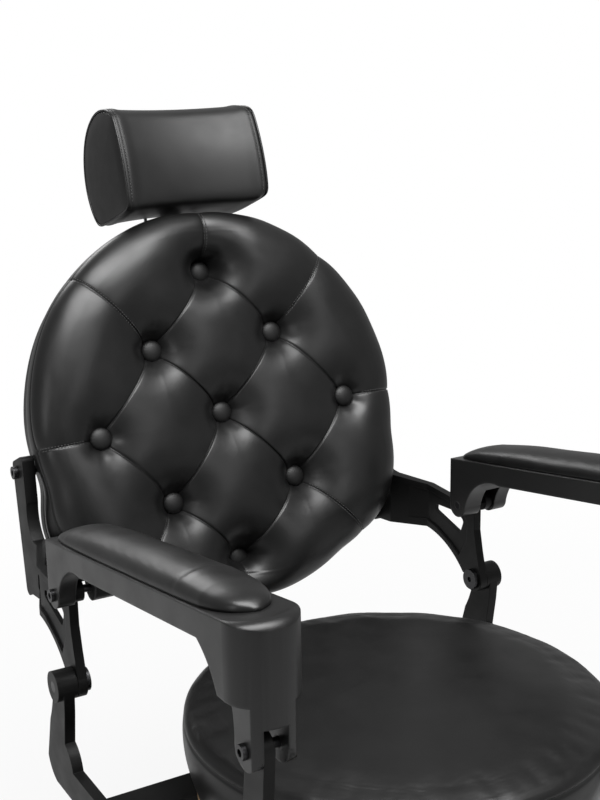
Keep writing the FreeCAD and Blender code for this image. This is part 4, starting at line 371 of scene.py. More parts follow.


# %% [markdown]
# The castings are powder coated: a satin black with a very fine orange peel, and a little lighter along
# their sharp edges.

# %% Coated and bare metals
def coated(name, shade=0.0025, gloss=0.4, edge_mm=1.4, peel_mm=0.05, mirror=0.14):
    """Powder coat on a casting, with softened edges whose colour is a little lighter."""
    material, tree, shader, place = new_finish(name, (shade,) * 3, gloss)
    shader.inputs["Specular IOR Level"].default_value = mirror
    # The colour turns a little lighter where the surface is sharply convex, along the edges.
    edge_pointiness = tree.nodes.new("ShaderNodeNewGeometry").outputs["Pointiness"]
    lighter_at_edges = spread(tree, edge_pointiness, 0, 1, 0.52, 0.6)
    colour = two_colours(tree, lighter_at_edges, (shade,) * 3, (shade * 2.6,) * 3)
    tree.links.new(colour, shader.inputs["Base Color"])
    uneven_gloss(tree, shader, place, 30, 4, gloss - 0.04, gloss + 0.06)
    peel = bump(tree, noise(tree, place, 1100, 2), peel_mm, 0.5, soft_edges(tree, edge_mm))
    tree.links.new(peel, shader.inputs["Normal"])
    return material


def bare_metal(name, colour, gloss, brushed=0.0):
    """Uncoated metal with faint scratches."""
    material, tree, shader, place = new_finish(name, colour, gloss, 1.0)
    uneven_gloss(tree, shader, place, 60, 5, max(gloss - 0.05, 0.03), gloss + 0.07)
    scratches = bump(tree, noise(tree, place, 700, 3), 0.02 + brushed, 0.35, soft_edges(tree, 0.5))
    tree.links.new(scratches, shader.inputs["Normal"])
    return material


# %% [markdown]
# Rubber, moulded plastic and plywood finish the rest. The plywood shows only where the boards' edges do.
# The buttons, the headrest's face and its end panels are a little duller than the back, so each of them
# has a leatherette of its own. Their colours carry painted light and shade: the headrest's face is
# painted lighter than the back, and the buttons and the end panels darker.

# %% Rubber, plastic, wood and thread
def moulded(name, shade, gloss, grain_scale, grain_mm):
    """Rubber, plastic or thread: a grainy surface of an uneven dark grey."""
    material, tree, shader, place = new_finish(name, (shade,) * 3, gloss)
    blotches = spread(tree, noise(tree, place, 40, 4), 0, 1)
    colour = two_colours(tree, blotches, (shade * 0.8,) * 3, (shade * 1.35,) * 3)
    tree.links.new(colour, shader.inputs["Base Color"])
    grainy = bump(tree, noise(tree, place, grain_scale, 3), grain_mm, 0.5, soft_edges(tree, 0.8))
    tree.links.new(grainy, shader.inputs["Normal"])
    return material


def plywood(name):
    """The layered edge of a birch board."""
    material, tree, shader, place = new_finish(name, (0.45, 0.31, 0.18), 0.62)
    wave = tree.nodes.new("ShaderNodeTexWave")
    wave.inputs["Scale"].default_value = 60
    wave.inputs["Distortion"].default_value = 3
    tree.links.new(place, wave.inputs["Vector"])
    colour = two_colours(tree, wave.outputs["Fac"], (0.5, 0.35, 0.2), (0.36, 0.23, 0.12))
    tree.links.new(colour, shader.inputs["Base Color"])
    tree.links.new(bump(tree, wave.outputs["Fac"], 0.08, 0.4), shader.inputs["Normal"])
    return material


finishes = {
    "black_leatherette": leatherette("black leatherette"),
    "black_casting": coated("satin black casting"),
    "black_steel": coated("satin black steel", 0.003, 0.36, 0.8),
    "dark_bolts": bare_metal("blackened bolts", (0.05, 0.05, 0.052), 0.34),
    "bright_steel": bare_metal("ground steel", (0.62, 0.62, 0.64), 0.14),
    "raw_iron": bare_metal("oiled iron", (0.14, 0.14, 0.145), 0.42, 0.02),
    "bearing_bronze": bare_metal("bearing bronze", (0.62, 0.44, 0.2), 0.3),
    "black_rubber": moulded("black rubber", 0.02, 0.62, 420, 0.12),
    "black_plastic": moulded("black moulding", 0.016, 0.5, 900, 0.06),
    "plywood": plywood("birch plywood"),
}
thread_finish = moulded("black thread", 0.05, 0.4, 3000, 0.05)
# Painted shade: the headrest's end panels are painted darker than the back's leather.
shaded_panel_finish = leatherette("black leatherette side painted darker", 0.003, 0.5, 0.045)
# Painted shade: the buttons' leather is painted a little darker than the back's.
shaded_button_finish = leatherette("black leatherette button painted darker", 0.0032, 0.5, 0.045)
# Painted light: the headrest's face is painted lighter than the back's leather.
lit_head_finish = leatherette("black leatherette head painted lighter", 0.0062, 0.46, 0.045)

# %% [markdown]
# ## Paint the ready-made parts
# The record of the chair says which finish each metal part has, so one loop paints them all. The armrests
# get a lighter copy of the casting's coat instead, as painted light.

# %% Give each CAD node its finish
# Painted light: the armrests' coat is painted lighter than that of the other castings, the same coat.
lit_arm_finish = coated("satin black armrest painted lighter", 0.0045, 0.34, 3.6, 0.08, 0.4)
for node_name, node in frame["nodes"].items():
    finish = finishes[slot_of[node_name]] if "armrest" not in node_name else lit_arm_finish
    if node.material_slots:
        for material_slot in node.material_slots:
            material_slot.material = finish
    else:
        node.data.materials.append(finish)
print("finishes given to", len(frame["nodes"]), "nodes")

# %% [markdown]
# ## The buttoned back
# On the real chair a round pad of foam is covered in leatherette, and nine covered buttons are pulled
# deep into it on cords. The leather rises between the buttons in soft diamonds and folds in along sewn
# seams. Cloth simulation alone gives the puffs but not the exact seams, so the form is drawn as a round
# skin first, with its dimples and seams, and the cloth pass later only loosens it. The buttons are pulled
# in by hand, so each one wanders a few millimetres from the even grid of the CAD model.

# %% Places of buttons and seams
STEP_ACROSS, STEP_UP = 99.0, 107.0  # from a button to its diagonal neighbour
ROUND_UP = 13.0  # the round outline's middle above the middle button
FLAT_RADIUS, ROLL_RADIUS = 219.0, 288.0  # where the rolled edge starts and where it ends
PAST_EDGE = 360.0  # further out than the leather reaches
MIDDLE_FLOOR, SIDE_LEAD, END_DEPTH = 2.3, 19.4, 16.2  # depth of the buttons' back faces
even_places = np.array([(STEP_ACROSS * (i - j), STEP_UP * (2 - i - j))
                        for i in range(3) for j in range(3)])
wander = np.array([(6, -1), (3, -2), (-1, -7), (1, 4), (-2, 4), (-1, -6), (-1, -1), (1, 0), (-6, 4)])
buttons = even_places + wander


def seam_lines():
    """Seams between neighbouring buttons, and one from each outer button to the edge."""
    inner, outer = [], []
    for first in range(len(buttons)):
        for second in range(first + 1, len(buttons)):
            reach = np.linalg.norm(even_places[first] - even_places[second])
            if abs(reach - math.hypot(STEP_ACROSS, STEP_UP)) < 1:
                inner.append((buttons[first], buttons[second]))
    for place in buttons:
        radius = np.linalg.norm(place)
        if radius > STEP_ACROSS / 2:
            outer.append((place, place / radius * PAST_EDGE))
    return inner, outer


def button_floor(bx, bt):
    """Where a button's back face lies: the side ones stand ahead, the top and bottom ones lie deeper."""
    sideways, endways = bx / (2 * STEP_ACROSS), bt / (2 * STEP_UP)
    return MIDDLE_FLOOR - SIDE_LEAD * sideways ** 2 + END_DEPTH * endways ** 2


inner_seams, edge_seams = seam_lines()
print("seams:", len(inner_seams), "between buttons and", len(edge_seams), "to the edge")


# %% [markdown]
# The height of the leather over the button plane comes from three things: a slight hollow over the whole
# back, a deep funnel at each button, and a valley along each seam with a crisp crease at its bottom. A
# few small pleats fan out from each button, where the leather has too much cloth for the funnel, and a
# deeper fold runs from the top button up over the edge.

# %% The leather's height over the back
rng = np.random.default_rng(11)
pleat_counts = np.arange(3, 9)
pleat_sizes = rng.uniform(0.1, 1.0, (len(buttons), len(pleat_counts)))
pleat_turns = rng.uniform(0, 2 * math.pi, (len(buttons), len(pleat_counts)))
CREST_MIDDLE, CREST_RISE, CREST_REACH = 38.0, 6.0, 206.0  # the slight hollow of the whole back
BUTTON_SUNK = 3.0  # how far the funnel's floor stands ahead of the button's back face
BUTTON_RIM = 13.0  # the funnel starts under the button's rim
PLEAT_RING, PLEAT_WIDTH = 24, 9
FOLD_LENGTH = 92  # of the fold that runs up from the top button


def crest(radius):
    """How far the tufts stand ahead of the middle button."""
    return CREST_MIDDLE + CREST_RISE * (radius / CREST_REACH) ** 2


def seam_distance(x, t, seams):
    """Distance to the nearest seam."""
    nearest = np.full(x.shape, 1e9)
    for start, end in seams:
        way = end - start
        along = ((x - start[0]) * way[0] + (t - start[1]) * way[1]) / (way @ way)
        along = np.clip(along, 0, 1)
        gap = np.hypot(x - start[0] - along * way[0], t - start[1] - along * way[1])
        nearest = np.minimum(nearest, gap)
    return nearest


def leather_sink(x, t, crisp=True):
    """How far the leather lies below the crest of the tufts, in millimetres."""
    sink = np.zeros(x.shape)
    pleats = np.zeros(x.shape)
    near_button = np.full(x.shape, 1e9)
    for k, (bx, bt) in enumerate(buttons):
        gap = np.hypot(x - bx, t - bt)
        near_button = np.minimum(near_button, gap)
        depth = crest(math.hypot(bx, bt - ROUND_UP)) + button_floor(bx, bt) - BUTTON_SUNK
        slope = np.maximum(gap - BUTTON_RIM, 0)
        wide, tight = np.exp(-(slope / 31.0) ** 1.3), np.exp(-(slope / 9.0) ** 1.1)
        funnel = 0.66 * wide + 0.34 * tight
        sink = sink + depth * funnel
        angle = np.arctan2(t - bt, x - bx)
        fan = sum(pleat_sizes[k, n] * np.cos(count * angle + pleat_turns[k, n])
                  for n, count in enumerate(pleat_counts))
        pleats += 0.5 * fan * np.exp(-((gap - PLEAT_RING) / PLEAT_WIDTH) ** 2)
    gap = seam_distance(x, t, inner_seams + edge_seams)
    deeper = np.exp(-near_button / 26)
    sink += 3.6 * np.exp(-(gap / 20) ** 1.15) * (1 - 0.6 * np.exp(-(near_button / 30) ** 2))
    if not crisp:
        return sink
    valley = (0.5 + 2.4 * deeper) * np.exp(-gap / 3.0)
    line = 2.1 * np.exp(-(gap / 1.15) ** 2)
    sink += (valley + line) * (1 - 0.75 * np.exp(-(near_button / 14) ** 2))
    above = t - buttons[0, 1]
    fade = np.clip(above / 16, 0, 1) * np.clip((FOLD_LENGTH - above) / 40, 0, 1)
    fold = np.exp(-np.abs(x - buttons[0, 0]) / 4.5) * fade
    return sink + pleats + 3.4 * fold


# %% [markdown]
# The round skin follows a profile from the middle of the face, over the rolled edge and down the side
# band to the board. Each point moves inward by the sink above, along the profile's own outward direction.
# The outline is a circle with two fuller lower corners, so the profile's outer part is pushed out there.

# %% The profile of the round back
CORNER_ACROSS, CORNER_DOWN = 161, 119  # middle of each fuller corner's own circle
CORNER_REACH, CORNER_RADIUS = 200.2, 121.0  # how far out that middle is, and its circle's radius
CORNER_BLEND = 6.0
FACE_POINTS, ROLL_POINTS, BAND_POINTS = 150, 59, 31
TOP_POINTS = FACE_POINTS + ROLL_POINTS
ROLL_END = -4.0  # place off the back's middle plane where the rolled edge turns into the side band
BAND_DEPTH = 49.7  # of the cushion's side
BAND_LENGTH = 1.354  # in band depths, because the leather also covers the board's edge
EDGE_RUN, EDGE_LENGTH = 262, 80  # where along the profile the dimples start to fade over the edge
REAR_SEAM = 17  # distance of the band's rear seam from the profile's end


def smooth(values, rounds):
    """Even out a row of numbers in place. Its first and last stay as they are."""
    for _ in range(rounds):
        values[1:-1] = (values[:-2] + 2 * values[1:-1] + values[2:]) / 4


def outline_lead(angle):
    """How far the outline stands outside its circle: the two lower corners are fuller."""
    lead = np.zeros(np.shape(angle))
    for across in (CORNER_ACROSS, -CORNER_ACROSS):
        turn = (angle - math.atan2(-CORNER_DOWN, across) + math.pi) % (2 * math.pi) - math.pi
        inside = np.maximum(CORNER_RADIUS ** 2 - (CORNER_REACH * np.sin(turn)) ** 2, 0)
        corner_r = np.where(np.abs(turn) < 0.6, CORNER_REACH * np.cos(turn) + np.sqrt(inside), 0.0)
        lead = lead + CORNER_BLEND * np.logaddexp(0, (corner_r - ROLL_RADIUS - 2.0) / CORNER_BLEND)
    return lead


def back_profile():
    """Radius and depth from the middle of the face round to the back, and the outward direction."""
    face_r = np.linspace(0, FLAT_RADIUS, FACE_POINTS)
    face_off = -crest(face_r)
    turn = np.linspace(0, math.pi / 2, ROLL_POINTS + 1)[1:]
    roll_r = FLAT_RADIUS + (ROLL_RADIUS - FLAT_RADIUS) * np.sin(turn)
    roll_off = ROLL_END + (face_off[-1] - ROLL_END) * np.cos(turn)
    v = np.linspace(0, BAND_LENGTH, BAND_POINTS + 1)[1:]
    side_r = ROLL_RADIUS - 12.0 * np.minimum(v, 1) + 3.0 * np.sin(math.pi * np.minimum(v, 1))
    side_off = ROLL_END + BAND_DEPTH * v
    r = np.concatenate([face_r, roll_r, side_r])
    off = np.concatenate([face_off, roll_off, side_off])
    smooth(off[1:FACE_POINTS + 21], 30)
    dr, doff = np.gradient(r), np.gradient(off)
    size = np.hypot(dr, doff)
    length = np.concatenate([[0], np.cumsum(np.hypot(np.diff(r), np.diff(off)))])
    return r, off, doff / size, -dr / size, length


profile_r, profile_off, out_r, out_off, profile_run = back_profile()
near_band = slice(TOP_POINTS - 9, None)
BAND_RUN = np.interp(ROLL_END + 2.0, profile_off[near_band], profile_run[near_band])
CORNER_START = 90.0  # the radius from which the face widens towards the corners


def widened(r, angle):
    """The radius with the outline's lead added, which grows from the middle of the face outward."""
    share = np.clip((r - CORNER_START) / (FLAT_RADIUS - CORNER_START), 0, 1)
    return r + outline_lead(angle) * share * share * (3 - 2 * share)


def corner_draw(off, angle):
    """The corners' roll is drawn in towards the face, while their band stays full behind."""
    share = np.clip(outline_lead(angle) / 30.0, 0, 1)
    ahead = np.clip((24.0 - off) / 28.0, 0, 1)
    return share * (9.0 * ahead - 8.0 * np.clip((off - 4.0) / 40.0, 0, 1))


def on_round(r, angle, off):
    """Places on the chair from the radius and the angle round the outline's middle."""
    return on_back(r * np.cos(angle), ROUND_UP + r * np.sin(angle), off)


def back_surface(run, angle, crisp=True):
    """Places on the leather from the distance run along the profile and the angle round the back."""
    r = widened(np.interp(run, profile_run, profile_r), angle)
    off = np.interp(run, profile_run, profile_off)
    r = r - corner_draw(off, angle)
    normal_r = np.interp(run, profile_run, out_r)
    normal_off = np.interp(run, profile_run, out_off)
    x, t = r * np.cos(angle), ROUND_UP + r * np.sin(angle)
    over_edge = np.clip((run - EDGE_RUN) / EDGE_LENGTH, 0, 1)
    sink = leather_sink(x, t, crisp) * (1 - 0.6 * over_edge)
    band = run - BAND_RUN
    sink = np.where(band > 0, sink * np.exp(-band / 9), sink)
    if crisp:
        front_seam = 1.7 * np.exp(-(band / 1.7) ** 2)
        rear_seam = 1.1 * np.exp(-((run - profile_run[-1] + REAR_SEAM) / 1.6) ** 2)
        sink = sink + front_seam + 1.2 * np.exp(-np.abs(band) / 7)
        sink = sink + rear_seam
    slow = np.sin(x * 0.031 + 1.3) * np.cos(t * 0.027 - 0.4) + 0.5 * np.sin(x * 0.071 - t * 0.053)
    sink = sink + 0.6 * slow * np.clip(run / 60, 0, 1)
    r = r - normal_r * sink
    off = off - normal_off * sink
    return on_round(r, angle, off)


# %% [markdown]
# The skin goes round the board's edge and closes on the board's rear face, where the real leather is
# stapled. The cloth pass runs on a plain skin without seams, held at the buttons, along the seams and all
# round the band.

# %% Build the back's leather
def back_grid(around, runs, crisp):
    """Rings of points from the middle of the face to the middle of the board's rear."""
    angle = np.linspace(0, 2 * math.pi, around, endpoint=False)[None, :]
    front = back_surface(np.asarray(runs)[:, None], angle, crisp)
    end = widened(profile_r[-1], angle[0]) - corner_draw(profile_off[-1], angle[0])
    turned_in = ((end - 1.4, 64.8), (end * 0.93, 65.1), (end * 0.5, 65.1), (end * 0, 65.1))
    rear = [on_round(r, angle[0], off) for r, off in turned_in]
    return np.concatenate([front, np.array(rear)])


def held_places():
    """Points along the seams, button to button, and round the band, where cords and thread hold."""
    places = []
    for start, end in inner_seams + edge_seams:
        for share in np.linspace(0, 1, 30):
            x, t = start + (end - start) * share
            angle = math.atan2(t - ROUND_UP, x)
            runs = np.interp(math.hypot(x, t - ROUND_UP), widened(profile_r, angle), profile_run)
            places.append(back_surface(np.array([runs]), np.array([angle]), False)[0])
    for angle in np.linspace(0, 2 * math.pi, 240, endpoint=False):
        for run in np.linspace(BAND_RUN, profile_run[-1], 7):
            places.append(back_surface(np.array([run]), np.array([angle]), False)[0])
    return places


def back_skin():
    """The back's leather and the field of shifts that its stitches follow."""
    plain = back_grid(240, np.linspace(0, profile_run[-1], 140), False)
    give = cloth_give("back_cloth", plain, held_places(), 14.0, 3.0)
    around, fine = ((1200, 340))
    coarser_from = 330
    runs = np.concatenate([np.linspace(0, coarser_from, fine),
                           np.linspace(coarser_from, profile_run[-1], 44)[1:]])
    grid = back_grid(around, runs, True)
    return skin("back_leather", grid + give(grid)), give


back_leather, back_give = back_skin()
print("back leather:", len(back_leather.data.vertices), "points")

# %% [markdown]
# ## Covered buttons
# Each button is a metal cap wrapped in the same leather. It sits in its funnel and follows the lean of
# the back. A lathe profile gives the dome, and a small ripple round its rim shows the gathered leather.

# %% The nine buttons
DOME = [(0.0, 10.6), (3.6, 10.4), (7.4, 9.7), (10.9, 8.4), (13.7, 6.6), (15.4, 4.5), (16.1, 2.4),
        (15.5, 0.6), (13.6, -0.4), (0.0, -0.6)]  # radius and height, from the top down


def button_grid(bx, bt):
    """One domed button, from its top down to the tucked rim."""
    angle = np.linspace(0, 2 * math.pi, 56, endpoint=False)
    floor = button_floor(bx, bt) - 0.3
    rows = []
    for r, height in DOME:
        ripple = 1 + 0.012 * np.cos(angle * 17) * (r > 9)
        rows.append(on_back(bx + r * ripple * np.cos(angle), bt + r * ripple * np.sin(angle),
                            floor - height))
    return np.array(rows)


def join(name, pieces):
    """Join several meshes into one piece."""
    work = bmesh.new()
    for piece in pieces:
        work.from_mesh(piece.data)
    mesh = bpy.data.meshes.new(name)
    work.to_mesh(mesh)
    work.free()
    for piece in pieces:
        bpy.data.objects.remove(piece)
    mesh.shade_smooth()
    return new_piece(name, mesh)


covered_buttons = join("covered_buttons", [skin("button", button_grid(bx, bt)) for bx, bt in buttons])
# The buttons get the darker leather, as painted shade.
covered_buttons.data.materials.append(shaded_button_finish)

# %% [markdown]
# ## Stitches on the edge seams
# Beside each seam that runs to the edge, a row of topstitching catches the light as small dashes. It
# starts where the funnel levels out and ends at the seam of the side band.

# %% Topstitching of the back
STITCH_START, STITCH_LAST = 26, 190  # distance from the button's middle
STITCH_BESIDE = 1.9


def edge_stitch_lines():
    """A line of places and outward directions on each side of each seam that runs to the edge."""
    lines = []
    for place, _ in edge_seams:
        way = place / np.linalg.norm(place)
        across = np.array([-way[1], way[0]])
        for side in (-1, 1):
            spots = place + way * np.linspace(STITCH_START, STITCH_LAST, 110)[:, None]
            spots = spots + across * side * STITCH_BESIDE
            angle = np.arctan2(spots[:, 1] - ROUND_UP, spots[:, 0])
            r = np.hypot(spots[:, 0], spots[:, 1] - ROUND_UP)
            edge = ROLL_RADIUS + outline_lead(angle)
            angle, r = angle[r < edge - 0.5], r[r < edge - 0.5]
            run = np.array([np.interp(one, widened(profile_r[:TOP_POINTS], a), profile_run[:TOP_POINTS])
                            for one, a in zip(r, angle)])
            points = back_surface(run, angle)
            lift = back_surface(run, angle + 0.004) - points
            out = np.cross(lift, back_surface(run + 1.0, angle) - points)
            out /= np.linalg.norm(out, axis=1)[:, None]
            toward = points - on_back(0, 0, 60)
            out *= np.sign((out * toward).sum(1))[:, None]
            lines.append((points + back_give(points), out))
    return lines


back_stitches = stitches("back_stitches", edge_stitch_lines(),
                         length=3.0, gap=1.4, radius=0.5, lift=0.15)

# %% [markdown]
# ## The headrest
# The headrest is a firm roll with a hollow face for the neck. Two flat end panels close it, with piping
# along their seams and a double row of topstitching on the face beside it.

# %% Shape of the headrest
HEAD_HALF = 112.0  # half its width
HEAD_TOP, HEAD_REAR = 439.0, 82.0  # top of its face up the back, and its rear behind the back's plane
SLACK_FROM = 74  # the leather's lower edge lifts from here to the end on one side
PANEL_SHARES = (0.0, 0.35, 0.7, 0.93)
PANEL_BULGE = 4.5
FACE_PART = slice(2, 96)  # the part of the outline that is stitched: the face and the top


def arc_through(first, middle, last, count):
    """Points along the circle's arc through three places, without the last."""
    (ax, ay), (bx, by), (cx, cy) = first, middle, last
    d = 2 * (ax * (by - cy) + bx * (cy - ay) + cx * (ay - by))
    a2, b2, c2 = ax * ax + ay * ay, bx * bx + by * by, cx * cx + cy * cy
    ux = (a2 * (by - cy) + b2 * (cy - ay) + c2 * (ay - by)) / d
    uy = (a2 * (cx - bx) + b2 * (ax - cx) + c2 * (bx - ax)) / d
    radius = math.hypot(ax - ux, ay - uy)
    angles = [math.atan2(p[1] - uy, p[0] - ux) for p in (first, middle, last)]
    sweep = (angles[2] - angles[0]) % (2 * math.pi)
    if (angles[1] - angles[0]) % (2 * math.pi) > sweep:
        sweep -= 2 * math.pi
    turn = angles[0] + sweep * np.arange(count) / count
    return np.stack([ux + radius * np.cos(turn), uy + radius * np.sin(turn)], -1)


def head_section(across, inset=0.0):
    """The headrest's outline, off and up, at a place across. An inset draws it in evenly."""
    inward = 1 - (across / HEAD_HALF) ** 2
    slack = 9.0 * (max(across - SLACK_FROM, 0) / (HEAD_HALF - SLACK_FROM)) ** 2.2
    low, high = 301 + 8 * inward, HEAD_TOP
    middle = (low + high) / 2
    front, rear = -47 + 20 * inward, HEAD_REAR
    corners = [((front + 5, low + 2), (front, middle), (front + 12, high)),
               ((front + 10, high), ((front + rear) / 2, 458), (rear, high - 8)),
               ((rear, high - 8), (rear + 24, middle), (rear - 2, low)),
               ((rear - 2, low), ((front + rear) / 2, low - 2), (front + 5, low + 2))]
    counts = (52, 48, 52, 44)
    line = np.concatenate([arc_through(*corner, count) for corner, count in zip(corners, counts)])
    line[:, 1] += slack * np.clip((middle - line[:, 1]) / (middle - low), 0, 1) ** 1.5
    for _ in range(22):
        line = (np.roll(line, 1, 0) + line * 2 + np.roll(line, -1, 0)) / 4
    centre = np.array([(front + rear) / 2, middle])
    away = line - centre
    size = np.linalg.norm(away, axis=1)[:, None]
    return centre + away * (1 - inset / size)


def end_panel(side, shares):
    """Rings of one end panel, each a share of the outline, which bulges a little in its middle."""
    section = head_section(side * HEAD_HALF)
    middle = section.mean(0)
    rings = []
    for share in shares:
        ring = middle + (section - middle) * share
        x = side * (HEAD_HALF + PANEL_BULGE * (1 - share ** 2))
        rings.append(on_back(x, ring[:, 1], ring[:, 0]))
    return rings


def headrest_skin():
    """The roll between its end panels, drawn in at the seams and proud just beside them."""
    rows = end_panel(-1, PANEL_SHARES)
    stations = np.concatenate([np.linspace(-HEAD_HALF, -96, 12), np.linspace(-94, 94, 66),
                               np.linspace(96, HEAD_HALF, 12)])
    for x in stations:
        edge = HEAD_HALF - abs(x)
        drawn = 3.4 * math.exp(-edge / 2.2) + 1.2 * math.exp(-edge / 9)
        drawn -= 1.6 * math.exp(-((edge - 13) / 8) ** 2)
        drawn += 0.5 * math.exp(-((edge - 7.5) / 1.4) ** 2)
        section = head_section(x, drawn)
        rows.append(on_back(x, section[:, 1], section[:, 0]))
    rows += end_panel(1, PANEL_SHARES[::-1])
    return skin("headrest_leather", np.array(rows))


headrest_leather = headrest_skin()

# %% [markdown]
# The end panels are painted darker than the face, as painted shade, and the face is painted lighter than
# the back, as painted light, so the faces beyond the seam get their own finish. The piping and two
# stitched lines follow the seam.

# %% Headrest piping and stitching
def paint_ends():
    """Give the face its painted-lighter leather and the faces beyond the end seams the painted-darker
    one.
    """
    headrest_leather.data.materials.append(lit_head_finish)
    headrest_leather.data.materials.append(shaded_panel_finish)
    limit = (HEAD_HALF - 0.6) * MM
    for face in headrest_leather.data.polygons:
        if abs(face.center.x) > limit:
            face.material_index = 1


def headrest_trim():
    """Piping round both end seams, and two stitched lines on the face beside each."""
    pipes, lines = [], []
    for side in (-1, 1):
        section = head_section(side * HEAD_HALF, 1.6)
        line = on_back(side * (HEAD_HALF - 0.4), section[:, 1], section[:, 0])
        pipes.append(piping("pipe", line, 1.6))
        for inward in (7.0, 10.5):
            x = side * (HEAD_HALF - inward)
            section = head_section(x, -0.3)
            outer = head_section(x, -3.0)
            points = on_back(x, section[FACE_PART, 1], section[FACE_PART, 0])
            out = on_back(x, outer[FACE_PART, 1], outer[FACE_PART, 0]) - points
            out /= np.linalg.norm(out, axis=1)[:, None]
            lines.append((points, out))
    return join("headrest_piping", pipes), stitches("headrest_stitches", lines)


paint_ends()
headrest_piping, headrest_stitches = headrest_trim()

# %% [markdown]
# ## The seat
# The seat is a deep round cushion: a side band, a rolled top edge and a gentle crown. Its leather is
# pulled less tight than the back's, so slow waves run over the crown and the band bulges between the
# two seams.

# %% Build the seat's leather
SEAT_LOW, SEAT_BAND_TOP = 442.3, 520.0
SEAT_FOOT, SEAT_RADIUS, CROWN_RADIUS = 250, 262, 224  # at the board, at the top seam, inside the roll
SEAT_ROLL, CROWN_RISE = 21, 8.5
SEAT_BAND_POINTS = 34


def seat_profile():
    """Radius and height from the board up the band and over the roll to the crown's middle."""
    v = np.linspace(0, 1, SEAT_BAND_POINTS)
    side_r = SEAT_FOOT + 12 * np.sin(v * math.pi / 2) + 2.2 * np.sin(math.pi * v)
    side_z = SEAT_LOW + (SEAT_BAND_TOP - SEAT_LOW) * v
    turn = np.linspace(0, math.pi / 2, 40)[1:]
    roll_r = CROWN_RADIUS + (SEAT_RADIUS - CROWN_RADIUS) * np.cos(turn)
    roll_z = SEAT_BAND_TOP + SEAT_ROLL * np.sin(turn)
    crown_r = np.linspace(CROWN_RADIUS, 0, 90)[1:]
    crown_z = SEAT_BAND_TOP + SEAT_ROLL + CROWN_RISE * (1 - (crown_r / CROWN_RADIUS) ** 2)
    r = np.concatenate([side_r, roll_r, crown_r])
    z = np.concatenate([side_z, roll_z, crown_z])
    run = np.concatenate([[0], np.cumsum(np.hypot(np.diff(r), np.diff(z)))])
    return r, z, run


def seat_grid(around, crisp):
    """Rings of points from the middle of the underside to the middle of the crown."""
    r, z, run = seat_profile()
    angle = np.linspace(0, 2 * math.pi, around, endpoint=False)[None, :]
    past_seam = run - run[SEAT_BAND_POINTS - 1]
    groove = (1.8 * np.exp(-(past_seam / 1.7) ** 2) + 1.2 * np.exp(-np.abs(past_seam) / 6))[:, None]
    x, y = r[:, None] * np.cos(angle), r[:, None] * np.sin(angle)
    slow = np.sin(x * 0.021 + 0.7) * np.cos(y * 0.026 + 0.4) + 0.4 * np.sin(x * 0.057 - y * 0.043)
    gathers = 0.9 * np.sin(angle * 23 + 1.7 * np.sin(angle * 3))
    drape = gathers * np.exp(-np.abs(past_seam - 14) / 9)[:, None]
    dr, dz = np.gradient(r)[:, None], np.gradient(z)[:, None]
    size = np.hypot(dr, dz)
    move = 0.8 * slow + (0.25 * drape - groove if crisp else 0)
    out_r, out_z = dz / size * move, -dr / size * move
    rr, zz = r[:, None] + out_r, z[:, None] + out_z
    top = np.stack([rr * np.cos(angle), rr * np.sin(angle), zz + 0 * angle], -1) * MM
    under = []
    for share in (0.0, 0.5, 0.99):
        radius = share * (SEAT_FOOT - 1)
        places = [radius * np.cos(angle[0]), radius * np.sin(angle[0]), np.full(around, SEAT_LOW)]
        under.append(np.stack(places, -1) * MM)
    return np.concatenate([np.array(under), top])


def seat_skin():
    """The seat's leather, which is held at both seams and under the board."""
    turn = np.linspace(0, 2 * math.pi, 200, endpoint=False)
    held_rings = [(SEAT_RADIUS, SEAT_BAND_TOP)] + [(r, SEAT_LOW) for r in (251, 240, 170, 90)]
    held = [(r * math.cos(a) * MM, r * math.sin(a) * MM, z * MM) for a in turn for r, z in held_rings]
    give = cloth_give("seat_cloth", seat_grid(150, False), held, 12.0, 2.5)
    grid = seat_grid(360, True)
    return skin("seat_leather", grid + give(grid))


seat_leather = seat_skin()
print("seat leather:", len(seat_leather.data.vertices), "points")

# %% [markdown]
# ## The arm pads
# Each pad is a long leaf of foam, pointed at the rear and round at the front, wrapped in leather and set
# on the casting. A shallow crease crosses it where the leather was pulled over the thickest foam.

# %% Build the arm pads
PAD_END = 478.0
PAD_CREASE = 372  # where the crease crosses the pad
PAD_ARC = 61  # points of each ring over the pad's top
PAD_PLACES = [(5, 18, 3), (10, 25, 6), (22, 30, 11), (45, 33.5, 16.5), (80, 35.5, 20.5),
              (130, 36.4, 22.6), (280, 36.6, 23.4), (385, 36.4, 22.8), (425, 34.4, 20.8),
              (446, 30.5, 17.8), (461, 24, 14), (472, 15.5, 9.6), (PAD_END, 3, 3)]


